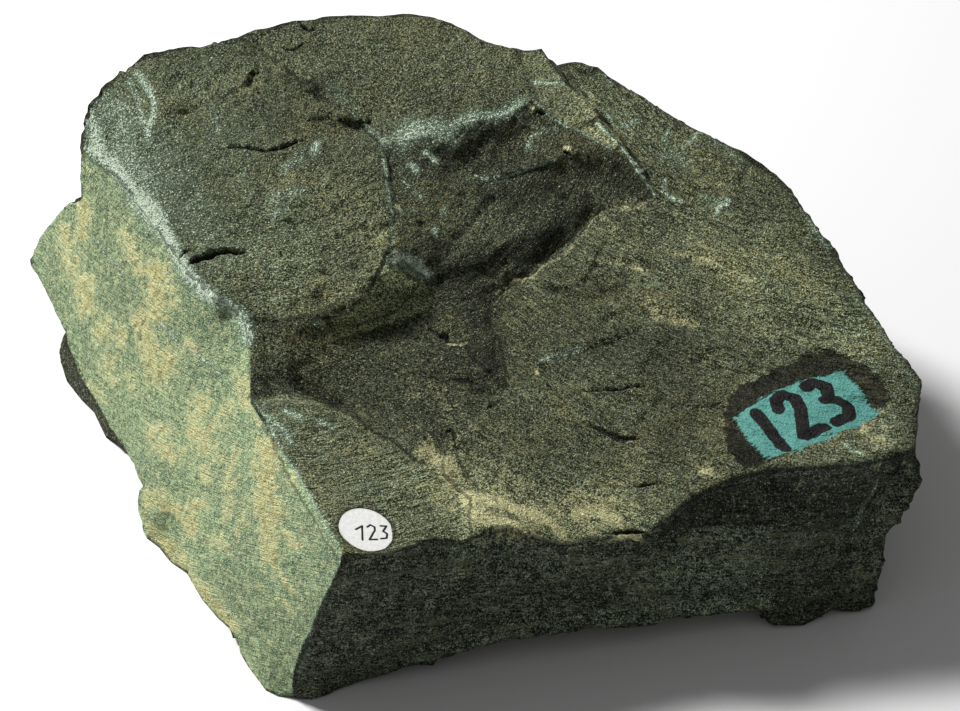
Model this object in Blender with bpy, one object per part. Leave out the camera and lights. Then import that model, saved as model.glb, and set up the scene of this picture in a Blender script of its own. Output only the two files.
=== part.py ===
"""Hand specimen of shale: one broken block of stone, with a round paper number dot glued to its front slab.

The block is drawn as a wireframe of broken edges and then skinned. Each face of the block (the old joint on
the left, the hammered top, the front, right and back breaks, and the bed that it rests on) is a patch: its
border and its inner edges are named lines, and the skin between them is as fair as those lines allow.
Lengths in the tables are in millimetres; the model itself is in metres, +Z up, resting on z = 0.
"""

from math import cos, hypot, pi, radians, sin

import bmesh
import bpy
import numpy as np
from mathutils import Matrix, Vector, noise
from mathutils.bvhtree import BVHTree
from mathutils.geometry import delaunay_2d_cdt

MM = 0.001

# The sighting grid. The outer edges were set out by sighting: a point is (column, row, height), where column
# and row are steps on a grid that stands square to the line of sight through the block's middle, counted from
# the grid's upper left corner, and height is in millimetres above the bed.
STEP = 0.143
GRID_COLUMNS, GRID_ROWS = 960, 711
EYE_DISTANCE = 520.0
EYE_RISE = radians(40.0)
SIGHTED_MIDDLE = Vector((0.0, 0.0, 20.0))

# Sizes of the skin and of the chipping.
LINE_SPACING = 2.2
SKIN_SPACING = 3.4
LINE_CHIPPING = 0.30
SKIN_CHIPPING = 0.10
CHIP_LENGTH = 2.6

# The paper dot.
DOT_RADIUS = 4.0
DOT_THICKNESS = 0.22
DOT_GAP = 0.3
DOT_SIDES = 32
DOT_PLACE = (367, 531)

# Corners that several lines share: (column, row, height).
CORNERS = {
    "shoulder": (82, 152, 30),
    "front_left_rim": (343, 553, 27),
    "front_left_foot": (292, 698, 0),
    "front_right_rim": (911, 449, 26.5),
    "front_right_foot": (872, 604, 0.5),
    "back_corner": (797, 197, 29.7),
    "lobe_foot": (32, 265, 7.5),
    "scarp_start": (385, 147, 36.5),
    "ridge_end": (653, 196, 32),
    "slope_corner": (507, 389, 22.8),
    "slab_tail": (454, 490, 22.2),
}

# Lines on the sides that can be sighted: corner names and (column, row, height).
SIGHTED_LINES = {
    # the joint face, on the left
    "joint_rim": [
        "shoulder", (100, 164, 30.3), (120, 182, 30.5), (140, 205, 30.5), (157, 226, 30.4), (172, 252, 30.2),
        (187, 275, 30), (201, 289, 29.8), (215, 300, 29.6), (230, 307, 29.1), (241, 312, 28.6),
        (246, 322, 28.2), (249, 345, 26.6), (251, 372, 25.4), (251, 395, 24.6), (252, 404, 25.2),
        (262, 420, 25.6), (271, 437, 26), (283, 455, 26.3), (297, 472, 26.6), (308, 490, 26.9),
        (320, 512, 27), (333, 534, 27), "front_left_rim",
    ],
    "front_left_edge": [
        "front_left_rim", (341, 568, 24.6), (327, 590, 20.6), (318, 615, 15.8), (307, 636, 11.8),
        (298, 658, 7.8), (292, 680, 3.4), "front_left_foot",
    ],
    "joint_foot": [
        "front_left_foot", (278, 697, 0), (266, 691, 0), (248, 667, 0), (240, 653, 0), (236, 640, 1.2),
        (230, 627, 0.8), (218, 619, 0), (202, 600, 0), (187, 574, 0), (171, 563, 0), (159, 548, 0),
        (147, 539, 0), (143, 522, 1.4), (139, 510, 2.2), (140, 493, 2.6), (144, 487, 2.8), (139, 478, 2.6),
        (131, 460, 2), (124, 446, 1.2), (106, 438, 0), (94, 413, 0), (81, 400, 0), (67, 382, 0),
        (63, 370, 0.6), (59, 352, 1.6), (63, 340, 3.6), (66, 331, 5.4), (58, 320, 6), (53, 301, 6.6),
        (47, 292, 7), "lobe_foot",
    ],
    "joint_far_edge": [
        "lobe_foot", (33, 255, 8.8), (41, 240, 11.8), (49, 226, 15), (60, 213, 18.4), (70, 203, 21.6),
        (81, 202, 23.6), (81, 180, 26.6), "shoulder",
    ],
    "joint_bevel": [
        (236, 640, 1.2), (226, 616, 2.2), (214, 602, 2.2), (199, 582, 2), (189, 568, 2), (182, 552, 1.4),
        (178, 543, 1.2), (166, 534, 1.2), (143, 522, 1.4),
    ],
    "joint_ledge": [
        (66, 331, 5.4), (74, 360, 3.8), (84, 380, 3), (96, 401, 2.8), (108, 421, 2.4), (124, 446, 1.2),
    ],
    # the front break
    "front_rim": [
        "front_left_rim", (365, 556, 26.4), (387, 555, 26), (404, 550, 25.6), (430, 539, 25.4),
        (441, 537, 25.2), (452, 538, 24.8), (460, 546, 23.8), (473, 538, 24.2), (487, 528, 24.6),
        (506, 524, 24.4), (519, 531, 23.4), (530, 538, 22.4), (545, 542, 21.4), (560, 544, 20.8),
        (584, 542, 20.8), (608, 539, 21.2), (640, 536, 21.6), (660, 524, 23.2), (681, 506, 25),
        (707, 490, 26.2), (742, 475, 27.2), (775, 470, 27.4), (803, 468, 27.4), (835, 466, 27.2),
        (864, 464, 27), (891, 458, 26.8), "front_right_rim",
    ],
    "front_right_edge": [
        "front_right_rim", (917, 465, 24.2), (921, 484, 21.4), (910, 496, 19.2), (895, 518, 15.8),
        (880, 540, 12.2), (884, 562, 8), (876, 580, 5), "front_right_foot",
    ],
    "front_foot": [
        "front_right_foot", (854, 612, 0), (830, 611, 0.6), (803, 626, 0), (786, 626, 0), (772, 624, 0),
        (766, 616, 1.6), (757, 605, 3.8), (730, 608, 4), (700, 611, 4.2), (670, 617, 4.2), (640, 621, 4.2),
        (595, 627, 4.4), (549, 632, 4.5), (517, 637, 4.5), (495, 641, 4.4), (463, 648, 3.8), (439, 658, 2.8),
        (432, 664, 2), (410, 667, 2), (389, 670, 1.8), (367, 677, 1.2), (343, 687, 0), (325, 696, 0),
        (311, 700, 0), "front_left_foot",
    ],
    "front_ledge": [
        (662, 527, 19.4), (690, 526, 20.2), (732, 524, 20.6), (772, 526, 20), (800, 522, 19.6), (835, 508, 20.6),
    ],
    "front_lower_edge": [
        (549, 632, 4.5), (571, 628, 4.9), (603, 619, 5.4), (640, 609, 5.9), (660, 602, 6.4), (691, 596, 6.6),
        (721, 593, 6.4), (745, 594, 5.6), (757, 605, 3.8),
    ],
    # the rim where the top turns over to the right and the back
    "right_rim": [
        "front_right_rim", (915, 432, 26.6), (916, 400, 26.6), (921, 381, 26.6), (906, 362, 26.8),
        (892, 350, 27), (885, 335, 27), (873, 316, 27.2), (860, 298, 27.5), (850, 280, 27.9),
        (838, 259, 28.3), (827, 242, 28.7), (815, 225, 29), (803, 209, 29.4), "back_corner",
    ],
    "back_rim": [
        "back_corner", (780, 180, 30.3), (760, 165, 30.9), (740, 153, 31.4), (700, 132, 32.6),
        (671, 117, 33.4), (640, 100, 34.4), (625, 90, 34.9), (603, 75, 35.5), (597, 69, 35.8),
        (580, 65, 36.3), (556, 66, 36.5), (548, 59, 38.2), (541, 51, 39.5), (510, 50, 40.4),
        (492, 46, 41), (470, 33, 42), (440, 20, 42.8), (421, 14, 43), (400, 15, 42.8), (370, 17, 42.4),
        (330, 17, 41.6), (300, 22, 41), (262, 30, 40.4), (244, 36, 40), (220, 43, 39.4), (200, 47, 39),
        (165, 53, 38.8), (145, 57, 38.5), (118, 76, 36.6), (97, 95, 34.8), (84, 118, 32.8), "shoulder",
    ],
    # inner edges of the top
    "shoulder_ridge": [
        (145, 57, 38.5), (141, 73, 38.1), (146, 84, 37.8), (152, 94, 37.4), (157, 107, 36.8),
        (155, 122, 36), (152, 134, 35.3), (150, 146, 34.6), (151, 160, 33.8), (159, 182, 32.8),
        (167, 207, 31.9), (178, 238, 31), (192, 267, 30.3), (215, 300, 29.6),
    ],
    "lobe_rim": [
        (244, 36, 40), (253, 44, 39.7), (261, 52, 39.5), (270, 58, 39.3), (285, 67, 39), (297, 77, 38.7),
        (306, 88, 38.5), (317, 97, 38.3), (337, 98, 38.4), (353, 99, 38.5),
    ],
    "lobe_gap": [
        (244, 36, 40), (259, 43, 39.2), (272, 53, 38.8), (287, 62, 38.5), (300, 72, 38.2), (310, 83, 37.9),
        (321, 92, 37.6), (338, 93, 37.8), (353, 99, 38.5),
    ],
    "scarp_lip": [
        "scarp_start", (402, 143, 37.2), (420, 140, 37.6), (440, 133, 38.1), (460, 127, 38.5),
        (480, 122, 38.8), (500, 117, 39), (516, 111, 39.2), (531, 102, 39.5), (546, 112, 38.8),
        (562, 123, 37.9), (580, 133, 37), (600, 142, 36.3), (615, 152, 35.5), (629, 158, 34.8),
        (637, 168, 34), (644, 183, 33), "ridge_end",
    ],
    "plateau_step": [
        (541, 51, 39.5), (550, 64, 39.3), (562, 83, 38.8), (580, 99, 38), (600, 118, 37), (613, 133, 36.2),
        (625, 148, 35.4), (637, 168, 34),
    ],
    "plateau_step_foot": [
        (556, 66, 36.5), (567, 85, 36), (585, 101, 35.4), (604, 119, 34.8), (618, 134, 34.2),
        (631, 150, 33.5), (642, 168, 32.9), "ridge_end",
    ],
    "upper_ledge": [
        "scarp_start", (372, 137, 36.9), (359, 128, 37.2), (347, 118, 37.5), (332, 119, 37.3),
        (309, 119, 37), (297, 113, 37.1), (287, 105, 37.3), (276, 89, 37.9), (262, 72, 38.6),
    ],
    "upper_ledge_foot": [
        "scarp_start", (371, 142, 35.9), (357, 137, 35.2), (344, 137, 34.8), (330, 138, 34.6),
        (311, 137, 34.5), (303, 124, 35.6), (287, 105, 37.3),
    ],
    "slab_edge": [
        "scarp_start", (388, 165, 35.8), (391, 190, 35), (391, 215, 34.2), (389, 240, 33.3),
        (386, 267, 32), (380, 278, 31.6), (374, 286, 31.2), (360, 298, 30.5), (343, 301, 30.2),
        (324, 311, 29.3), (311, 315, 28.9), (294, 321, 28.4), (275, 325, 28), (258, 322, 28), (246, 322, 28.2),
    ],
    "fan_ridge": [
        (386, 267, 32), (402, 264, 31), (416, 270, 29.6), (426, 282, 27.6), (432, 297, 25.6),
    ],
    "slab_scarp_foot": [
        (432, 297, 25.6), (428, 312, 24.8), (405, 320, 24.9), (376, 327, 25), (347, 340, 24.8),
        (326, 355, 24.4), (320, 364, 24), (295, 373, 23.8), (270, 386, 23.8), (251, 395, 24.6),
    ],
    "scarp_break": [
        (432, 297, 25.6), (440, 271, 28.4), (462, 260, 28.5), (488, 249, 28.8), (512, 240, 29.1),
        (540, 229, 29.6), (565, 214, 30.4), (585, 203, 31.1), (604, 200, 31.3), (622, 200, 31.5), "ridge_end",
    ],
    "inner_lip": [
        (489, 175, 33.4), (505, 172, 33.9), (522, 169, 34.4), (540, 164, 34.9), (553, 160, 35.2),
        (566, 151, 35.8), (579, 153, 35.6), (602, 153, 35.5), (615, 152, 35.5),
    ],
    "inner_lip_foot": [
        (489, 175, 33.4), (512, 181, 33), (545, 178, 33.1), (570, 174, 33), (590, 178, 32.7),
        (604, 187, 32.3), (622, 191, 32.1), "ridge_end",
    ],
    "slope_valley": [
        "ridge_end", (636, 203, 31.2), (617, 208, 30.6), (600, 213, 29.6), (580, 235, 28.1),
        (560, 249, 26.9), (540, 269, 25.7), (528, 277, 25.3), (512, 284, 24.9), (500, 294, 24.5),
        (490, 308, 24.1), (490, 324, 23.6), (498, 342, 23.2), (503, 362, 23), "slope_corner",
    ],
    "basin_edge": [
        (428, 312, 24.8), (429, 330, 24.8), (448, 342, 24.8), (466, 346, 24.8), (476, 360, 24.4),
        (489, 377, 23.7), "slope_corner",
    ],
    "terrace_edge": [
        "ridge_end", (674, 210, 31.5), (699, 221, 31.1), (731, 223, 31.1), (756, 228, 30.9),
        (779, 236, 30.5), (812, 240, 29.6), (838, 259, 28.3),
    ],
    "slope_lobe": [
        (528, 277, 25.3), (535, 287, 25.4), (553, 291, 25.8), (568, 289, 26.2), (583, 280, 26.9),
        (594, 264, 27.8), (603, 245, 28.8), (617, 230, 29.8),
    ],
    "label_slab_edge": [
        (252, 404, 25.2), (278, 404, 25.5), (301, 405, 25.7), (326, 409, 25.7), (347, 417, 25.5),
        (362, 426, 25.2), (378, 438, 24.7), (393, 443, 24.3), (405, 452, 23.9), (416, 463, 23.5),
        (436, 478, 22.8), "slab_tail",
    ],
    "label_slab_scarp": [
        (252, 404, 25.2), (276, 398, 23.3), (298, 392, 22), (314, 390, 21.6), (330, 396, 21.8),
        (347, 406, 22.2), (364, 415, 22.3), (382, 428, 22.5), (405, 452, 23.9),
    ],
    "lower_facet_edge": [
        "slope_corner", (497, 404, 22.9), (475, 421, 23.2), (444, 431, 22.9), (450, 446, 22.7),
        (456, 468, 22.4), "slab_tail",
    ],
    "lower_facet_ridge": [
        (497, 404, 22.9), (517, 420, 23.4), (527, 436, 23.3), (538, 455, 23), (553, 476, 22.6),
    ],
    "front_chamfer": [
        (487, 528, 24.6), (500, 520, 24.4), (514, 518, 23.8), (532, 524, 22.8), (548, 533, 21.6),
        (560, 544, 20.8),
    ],
}

# Points that the skin passes through between the lines, without an edge: (column, row, height).
SIGHTED_FULLNESS = {
    "top": [
        (120, 128, 33.2), (200, 90, 37.6), (250, 130, 37), (215, 190, 34.8), (300, 190, 36), (250, 240, 33.2),
        (330, 240, 34.2), (420, 70, 41.1), (350, 72, 39.7), (480, 88, 40.5), (545, 95, 39.2),
        (440, 148, 36.6), (470, 143, 36.4), (500, 140, 36.4), (530, 130, 36.9), (555, 142, 36.3),
        (430, 200, 33.2), (434, 250, 30.6), (480, 205, 31.6), (530, 205, 31.2), (575, 190, 32),
        (640, 130, 33.9), (700, 175, 32.2), (460, 300, 25.8), (480, 275, 26.2),
        (400, 375, 23.9), (360, 370, 23.8), (430, 400, 23.2), (300, 345, 26), (350, 480, 26.2),
        (400, 505, 25.4), (562, 262, 26.9), (600, 305, 27), (700, 270, 30), (800, 300, 29.2),
        (650, 350, 26.6), (750, 380, 28.4), (840, 380, 28), (560, 400, 24), (640, 440, 25), (720, 440, 27.4),
        (800, 430, 27.8), (560, 495, 22.2), (490, 450, 22.8), (600, 510, 22.6), (540, 335, 24.9),
    ],
    "joint": [(180, 400, 15.5), (120, 300, 19), (240, 560, 12)],
    "front": [(450, 600, 13.8), (600, 580, 12.4), (760, 560, 13.2), (860, 520, 15.6)],
}

# Lines on the sides that cannot be sighted: corner names and (x, y, z).
MEASURED_LINES = {
    "back_right_edge": [
        "back_corner", (46.5, 24.5, 24), (48.5, 23.0, 16), (47.0, 24.0, 8), (48.0, 22.0, 0),
    ],
    "right_foot": [
        "front_right_foot", (55.4, -26.0, 0), (56.4, -17.0, 1.5), (56.0, -7.0, 1.8), (54.5, 4.0, 0),
        (50.5, 13.0, 0), (48.0, 22.0, 0),
    ],
    "back_foot": [
        (48.0, 22.0, 0), (39.0, 33.0, 0), (28.0, 43.0, 2.2), (16.0, 49.5, 2.6), (3.0, 51.5, 0),
        (-12.0, 53.0, 0), (-26.0, 52.5, 2.0), (-38.0, 49.5, 3.0), (-47.0, 46.0, 1.0), (-56.0, 41.5, 3.5),
        "lobe_foot",
    ],
    "right_rib": [
        (56.4, -17.0, 1.5), (58.3, -14.5, 9), (59.3, -11.0, 15), (60.5, -9.0, 21),
    ],
    "back_shelf": [
        (28.0, 43.0, 2.2), (24.0, 48.5, 12), (8.0, 53.0, 15.5), (-10.0, 55.0, 14), (-27.0, 54.0, 17),
        (-41.0, 49.5, 20), (-50.0, 43.0, 25),
    ],
    "back_rib": [
        (8.0, 53.0, 15.5), (4.0, 51.5, 24), (6.0, 50.0, 31),
    ],
    "back_scar": [
        (-27.0, 54.0, 17), (-31.0, 53.2, 26), (-28.0, 50.8, 35),
    ],
    "right_scar": [
        (59.3, -11.0, 15), (56.0, -3.0, 12.5), (52.5, 7.0, 14), (49.0, 16.0, 19),
    ],
    "bed_flat": [
        (-22.0, -26.0, 0), (6.0, -24.0, 0), (31.0, -17.0, 0), (44.0, 2.0, 0), (36.0, 22.0, 0),
        (8.0, 40.0, 0), (-24.0, 40.0, 0), (-44.0, 26.0, 0), (-46.0, 6.0, 0), (-36.0, -14.0, 0),
        (-22.0, -26.0, 0),
    ],
}

# Each patch: the way it faces, the lines of its border in order (a minus sign runs one backwards), the edges
# inside it, and whether it is chipped.
PATCHES = {
    "top": {
        "facing": (0, 0, 1),
        "border": ["joint_rim", "front_rim", "right_rim", "back_rim"],
        "edges": [
            "shoulder_ridge", "scarp_lip", "plateau_step", "plateau_step_foot", "upper_ledge",
            "upper_ledge_foot", "lobe_rim", "lobe_gap", "slab_edge", "fan_ridge", "slab_scarp_foot",
            "scarp_break", "inner_lip", "inner_lip_foot", "slope_valley", "basin_edge", "terrace_edge",
            "slope_lobe", "label_slab_edge", "label_slab_scarp", "lower_facet_edge", "lower_facet_ridge",
            "front_chamfer",
        ],
    },
    "joint": {
        "facing": (-0.887, -0.395, 0.238),
        "border": ["joint_foot", "joint_far_edge", "joint_rim", "front_left_edge"],
        "edges": ["joint_bevel", "joint_ledge"],
    },
    "front": {
        "facing": (0.22, -0.97, 0.05),
        "border": ["-front_left_edge", "front_rim", "front_right_edge", "front_foot"],
        "edges": ["front_ledge", "front_lower_edge"],
    },
    "right": {
        "facing": (0.95, 0.3, 0.0),
        "border": ["right_rim", "back_right_edge", "-right_foot", "-front_right_edge"],
        "edges": ["right_rib", "right_scar"],
    },
    "back": {
        "facing": (0.05, 1.0, 0.1),
        "border": ["back_rim", "-joint_far_edge", "-back_foot", "-back_right_edge"],
        "edges": ["back_shelf", "back_rib", "back_scar"],
    },
    "bed": {
        "facing": (0, 0, -1),
        "border": ["joint_foot", "-back_foot", "-right_foot", "front_foot"],
        "edges": ["bed_flat"],
    },
}


def clear_objects():
    for each in list(bpy.data.objects):
        bpy.data.objects.remove(each, do_unlink=True)


# --- setting out ---------------------------------------------------------------------------------------------


def sight_ray(column, row):
    """The eye and the direction of the sight line through a place on the grid, in millimetres."""
    line_of_sight = Vector((0.0, cos(EYE_RISE), -sin(EYE_RISE)))
    up_the_grid = Vector((0.0, sin(EYE_RISE), cos(EYE_RISE)))
    eye = SIGHTED_MIDDLE - EYE_DISTANCE * line_of_sight
    across = (column - GRID_COLUMNS / 2) * STEP
    up = (GRID_ROWS / 2 - row) * STEP
    on_grid = SIGHTED_MIDDLE + Vector((across, 0.0, 0.0)) + up * up_the_grid
    return eye, (on_grid - eye).normalized()


def sighted(point):
    """The place, in millimetres, of a point given as (column, row, height)."""
    column, row, height = point
    eye, direction = sight_ray(column, row)
    return eye + direction * ((height - eye.z) / direction.z)


def placed(entry, is_sighted):
    if isinstance(entry, str):
        return sighted(CORNERS[entry])
    return sighted(entry) if is_sighted else Vector(entry)


def chipped(point, size):
    """The point, moved a little by the chipping of the stone. Points on the bed stay on it."""
    if point.z < 0.01:
        return point.copy()
    moved = point + size * noise.noise_vector(point / CHIP_LENGTH)
    moved.z = max(moved.z, 0.0)
    return moved


def drawn_line(points):
    """A line through the points, with more points between them, chipped."""
    drawn = [points[0]]
    for start, end in zip(points, points[1:]):
        pieces = max(1, round((end - start).length / LINE_SPACING))
        drawn += [start.lerp(end, k / pieces) for k in range(1, pieces + 1)]
    return [chipped(point, LINE_CHIPPING) for point in drawn]


def all_lines():
    lines = {}
    for table, is_sighted in ((SIGHTED_LINES, True), (MEASURED_LINES, False)):
        for name, entries in table.items():
            lines[name] = drawn_line([placed(entry, is_sighted) for entry in entries])
    return lines


# --- skinning ------------------------------------------------------------------------------------------------


def border_points(names, lines, flatten):
    """The closed border as one anticlockwise loop of points, each line joined to the next at its corner."""
    loop = []
    for name in names:
        line = lines[name.lstrip("-")]
        line = line[::-1] if name.startswith("-") else line
        if loop and (loop[-1] - line[0]).length > (loop[-1] - line[-1]).length:
            line = line[::-1]
        loop += line[1:] if loop else line
    loop = loop[:-1]
    flat = [flatten(p) for p in loop]
    turning = sum(a.x * b.y - a.y * b.x for a, b in zip(flat, flat[1:] + flat[:1]))
    return loop if turning > 0 else loop[::-1]


def distance_to_segment(p, a, b):
    along = b - a
    share = max(0.0, min(1.0, (p - a).dot(along) / max(along.length_squared, 1e-12)))
    return (p - a - along * share).length


def inside(p, loop):
    """Whether the flat point lies inside the flat loop."""
    crossings = 0
    for a, b in zip(loop, loop[1:] + loop[:1]):
        if (a.y > p.y) != (b.y > p.y) and p.x < a.x + (p.y - a.y) * (b.x - a.x) / (b.y - a.y):
            crossings += 1
    return crossings % 2 == 1


def fill_points(loop, segments):
    """A triangular grid of flat points inside the loop, clear of every line."""
    low_x, high_x = min(p.x for p in loop), max(p.x for p in loop)
    low_y, high_y = min(p.y for p in loop), max(p.y for p in loop)
    row_height = SKIN_SPACING * sin(radians(60))
    found = []
    for row in range(int((high_y - low_y) / row_height) + 1):
        for column in range(int((high_x - low_x) / SKIN_SPACING) + 2):
            x = low_x + (column - 0.5 * (row % 2)) * SKIN_SPACING
            p = Vector((x, low_y + row * row_height))
            if not inside(p, loop):
                continue
            if min(distance_to_segment(p, a, b) for a, b in segments) > 0.55 * SKIN_SPACING:
                found.append(p)
    return found


def cotangent_weights(flat, triangles):
    weights = {}
    for triangle in triangles:
        for corner in range(3):
            i, j, k = (triangle[(corner + turn) % 3] for turn in range(3))
            a, b = flat[j] - flat[i], flat[k] - flat[i]
            cotangent = a.dot(b) / max(abs(a.cross(b)), 1e-9)
            for pair in ((j, k), (k, j)):
                weights[pair] = weights.get(pair, 0.0) + 0.5 * cotangent
    return weights


def fair_heights(flat, triangles, known, smooth):
    """Heights over the patch's plane: as given where known, and elsewhere as fair as the smooth points allow."""
    count = len(flat)
    free = [i for i in range(count) if i not in known]
    if not free:
        return [known[i] for i in range(count)]
    column_of = {vertex: k for k, vertex in enumerate(free)}
    row_of = {vertex: k for k, vertex in enumerate(smooth)}
    matrix = np.zeros((len(smooth), len(free)))
    target = np.zeros(len(smooth))
    for (i, j), weight in cotangent_weights(flat, triangles).items():
        if i not in row_of:
            continue
        weight = max(weight, 0.01)
        for vertex, share in ((j, weight), (i, -weight)):
            if vertex in column_of:
                matrix[row_of[i], column_of[vertex]] += share
            else:
                target[row_of[i]] -= share * known[vertex]
    solved = np.linalg.lstsq(matrix, target, rcond=None)[0]
    return [known[i] if i in known else float(solved[column_of[i]]) for i in range(count)]


def patch_axes(facing):
    normal = Vector(facing).normalized()
    side = Vector((0, 0, 1)).cross(normal) if abs(normal.z) < 0.9 else Vector((1, 0, 0))
    side = (side - side.dot(normal) * normal).normalized()
    return side, normal.cross(side), normal


def skinned_patch(name, lines, skin):
    """Adds one patch's triangles to the bmesh."""
    patch = PATCHES[name]
    side, up, normal = patch_axes(patch["facing"])

    def flatten(point):
        return Vector((point.dot(side), point.dot(up)))

    border = border_points(patch["border"], lines, flatten)
    points = list(border)
    index = {tuple(round(c, 4) for c in p): i for i, p in enumerate(points)}
    border_edges = [(i, (i + 1) % len(border)) for i in range(len(border))]
    inner_edges = []
    for line in (lines[edge] for edge in patch["edges"]):
        numbers = []
        for p in line:
            key = tuple(round(c, 4) for c in p)
            if key not in index:
                index[key] = len(points)
                points.append(p)
            numbers.append(index[key])
        inner_edges += list(zip(numbers, numbers[1:]))
    fullness = [sighted(p) for p in SIGHTED_FULLNESS.get(name, [])]
    edge_count = len(points)
    points += fullness
    flat = [flatten(p) for p in points]
    segments = [(flat[a], flat[b]) for a, b in border_edges + inner_edges]
    fill = fill_points(flat[: len(border)], segments)
    fill = [p for p in fill if all((p - q).length > 0.6 * SKIN_SPACING for q in flat[edge_count:])]
    flat += fill

    found = delaunay_2d_cdt(flat, border_edges + inner_edges, [], 0, 1e-6, True)
    new_flat, triangles, origins = found[0], found[2], found[3]
    loop = flat[: len(border)]
    triangles = [t for t in triangles if inside(sum((new_flat[i] for i in t), Vector((0, 0))) / 3, loop)]
    known, smooth = {}, []
    for new, old in enumerate(origins):
        old = [i for i in old if i < len(points)]
        if old:
            known[new] = points[old[0]].dot(normal)
        if not old or min(old) >= edge_count:
            smooth.append(new)
    heights = fair_heights(new_flat, triangles, known, smooth)

    verts = []
    for new, (p, height) in enumerate(zip(new_flat, heights)):
        place = side * p.x + up * p.y + normal * height
        if new in smooth:
            place = chipped(place, SKIN_CHIPPING)
        else:
            old = [i for i in origins[new] if i < edge_count]
            place = points[old[0]] if old else place
        verts.append(skin.verts.new(place * MM))
    for triangle in triangles:
        skin.faces.new([verts[i] for i in triangle])


def make_stone(material):
    lines = all_lines()
    skin = bmesh.new()
    for name in PATCHES:
        skinned_patch(name, lines, skin)
    bmesh.ops.remove_doubles(skin, verts=skin.verts, dist=0.00001)
    bmesh.ops.dissolve_degenerate(skin, edges=skin.edges, dist=0.00001)
    bmesh.ops.recalc_face_normals(skin, faces=skin.faces)
    mesh = bpy.data.meshes.new("shale_block")
    skin.to_mesh(mesh)
    skin.free()
    mesh.materials.append(material)
    stone = bpy.data.objects.new("shale_block", mesh)
    bpy.context.scene.collection.objects.link(stone)
    return stone


# --- the paper dot -------------------------------------------------------------------------------------------


def make_dot(stone, material):
    """A thin disc that lies on the front slab, clear of the stone by the gap."""
    tree = BVHTree.FromPolygons(
        [v.co / MM for v in stone.data.vertices], [list(p.vertices) for p in stone.data.polygons]
    )
    eye, direction = sight_ray(*DOT_PLACE)
    centre = tree.ray_cast(eye, direction)[0]
    normal = Vector((0.0, 0.0, 0.0))
    rim_turns = [2 * pi * k / DOT_SIDES for k in range(DOT_SIDES)]
    around = [Vector((cos(turn), sin(turn), 0.0)) * DOT_RADIUS for turn in rim_turns]
    for step in around:
        normal += tree.ray_cast(centre + step * 0.7 + Vector((0, 0, 20)), Vector((0, 0, -1)))[1]
    turn = Vector((0, 0, 1)).rotation_difference(normal.normalized()).to_matrix()
    lift = 0.0
    for step in [s * share for s in around for share in (0.0, 0.25, 0.5, 0.75, 1.0)]:
        start = centre + turn @ (step + Vector((0, 0, 10)))
        hit = tree.ray_cast(start, turn @ Vector((0, 0, -1)))[0]
        lift = max(lift, (hit - centre).dot(turn @ Vector((0, 0, 1))))
    disc = bmesh.new()
    bmesh.ops.create_cone(
        disc, cap_ends=True, segments=DOT_SIDES, radius1=DOT_RADIUS * MM, radius2=DOT_RADIUS * MM,
        depth=DOT_THICKNESS * MM,
    )
    middle = centre + turn @ Vector((0, 0, lift + DOT_GAP + DOT_THICKNESS / 2))
    bmesh.ops.transform(disc, matrix=Matrix.Translation(middle * MM) @ turn.to_4x4(), verts=disc.verts)
    mesh = bpy.data.meshes.new("number_dot")
    disc.to_mesh(mesh)
    disc.free()
    mesh.materials.append(material)
    dot = bpy.data.objects.new("number_dot", mesh)
    bpy.context.scene.collection.objects.link(dot)
    return dot


def finish_material(name, colour, roughness):
    material = bpy.data.materials.new(name)
    material.use_nodes = True
    shader = material.node_tree.nodes["Principled BSDF"]
    shader.inputs["Base Color"].default_value = (*colour, 1.0)
    shader.inputs["Roughness"].default_value = roughness
    shader.inputs["Metallic"].default_value = 0.0
    return material


def centre_on_origin(stone, pieces):
    """Moves the pieces so that the middle of the stone's box stands over the origin."""
    places = [v.co for v in stone.data.vertices]
    middle_x = (min(p.x for p in places) + max(p.x for p in places)) / 2
    middle_y = (min(p.y for p in places) + max(p.y for p in places)) / 2
    for piece in pieces:
        piece.data.transform(Matrix.Translation((-middle_x, -middle_y, 0.0)))


def main():
    clear_objects()
    stone = make_stone(finish_material("shale", (0.085, 0.09, 0.068), 0.75))
    dot = make_dot(stone, finish_material("paper", (0.82, 0.82, 0.8), 0.6))
    centre_on_origin(stone, (stone, dot))


main()
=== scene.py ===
"""Shale specimen: the block's broken skin with its pale joint coat, dust, bruises and painted number, and the
paper number dot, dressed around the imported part. Lengths in the tables are millimetres unless a name says
otherwise, and (column, row) places are steps on the sighting grid that the block was set out on.
"""

from math import cos, radians, sin

import bmesh
import bpy
import numpy as np
from mathutils import Matrix, Vector, noise
from mathutils.bvhtree import BVHTree

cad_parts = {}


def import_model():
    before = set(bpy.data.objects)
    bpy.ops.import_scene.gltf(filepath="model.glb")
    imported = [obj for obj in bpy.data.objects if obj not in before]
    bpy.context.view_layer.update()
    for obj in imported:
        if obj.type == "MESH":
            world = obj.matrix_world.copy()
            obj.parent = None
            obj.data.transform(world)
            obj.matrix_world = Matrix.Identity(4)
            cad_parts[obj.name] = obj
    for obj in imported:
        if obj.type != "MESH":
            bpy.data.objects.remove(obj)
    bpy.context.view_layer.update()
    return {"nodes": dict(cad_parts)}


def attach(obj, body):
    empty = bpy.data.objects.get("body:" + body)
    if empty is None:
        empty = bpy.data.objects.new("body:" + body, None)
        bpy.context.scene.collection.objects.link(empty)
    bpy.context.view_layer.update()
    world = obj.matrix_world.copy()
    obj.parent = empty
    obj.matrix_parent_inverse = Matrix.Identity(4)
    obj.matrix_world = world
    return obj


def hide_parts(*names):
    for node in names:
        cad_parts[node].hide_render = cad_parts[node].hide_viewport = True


MM = 0.001

# --- the sighting grid ----------------------------------------------------------------------------

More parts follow.
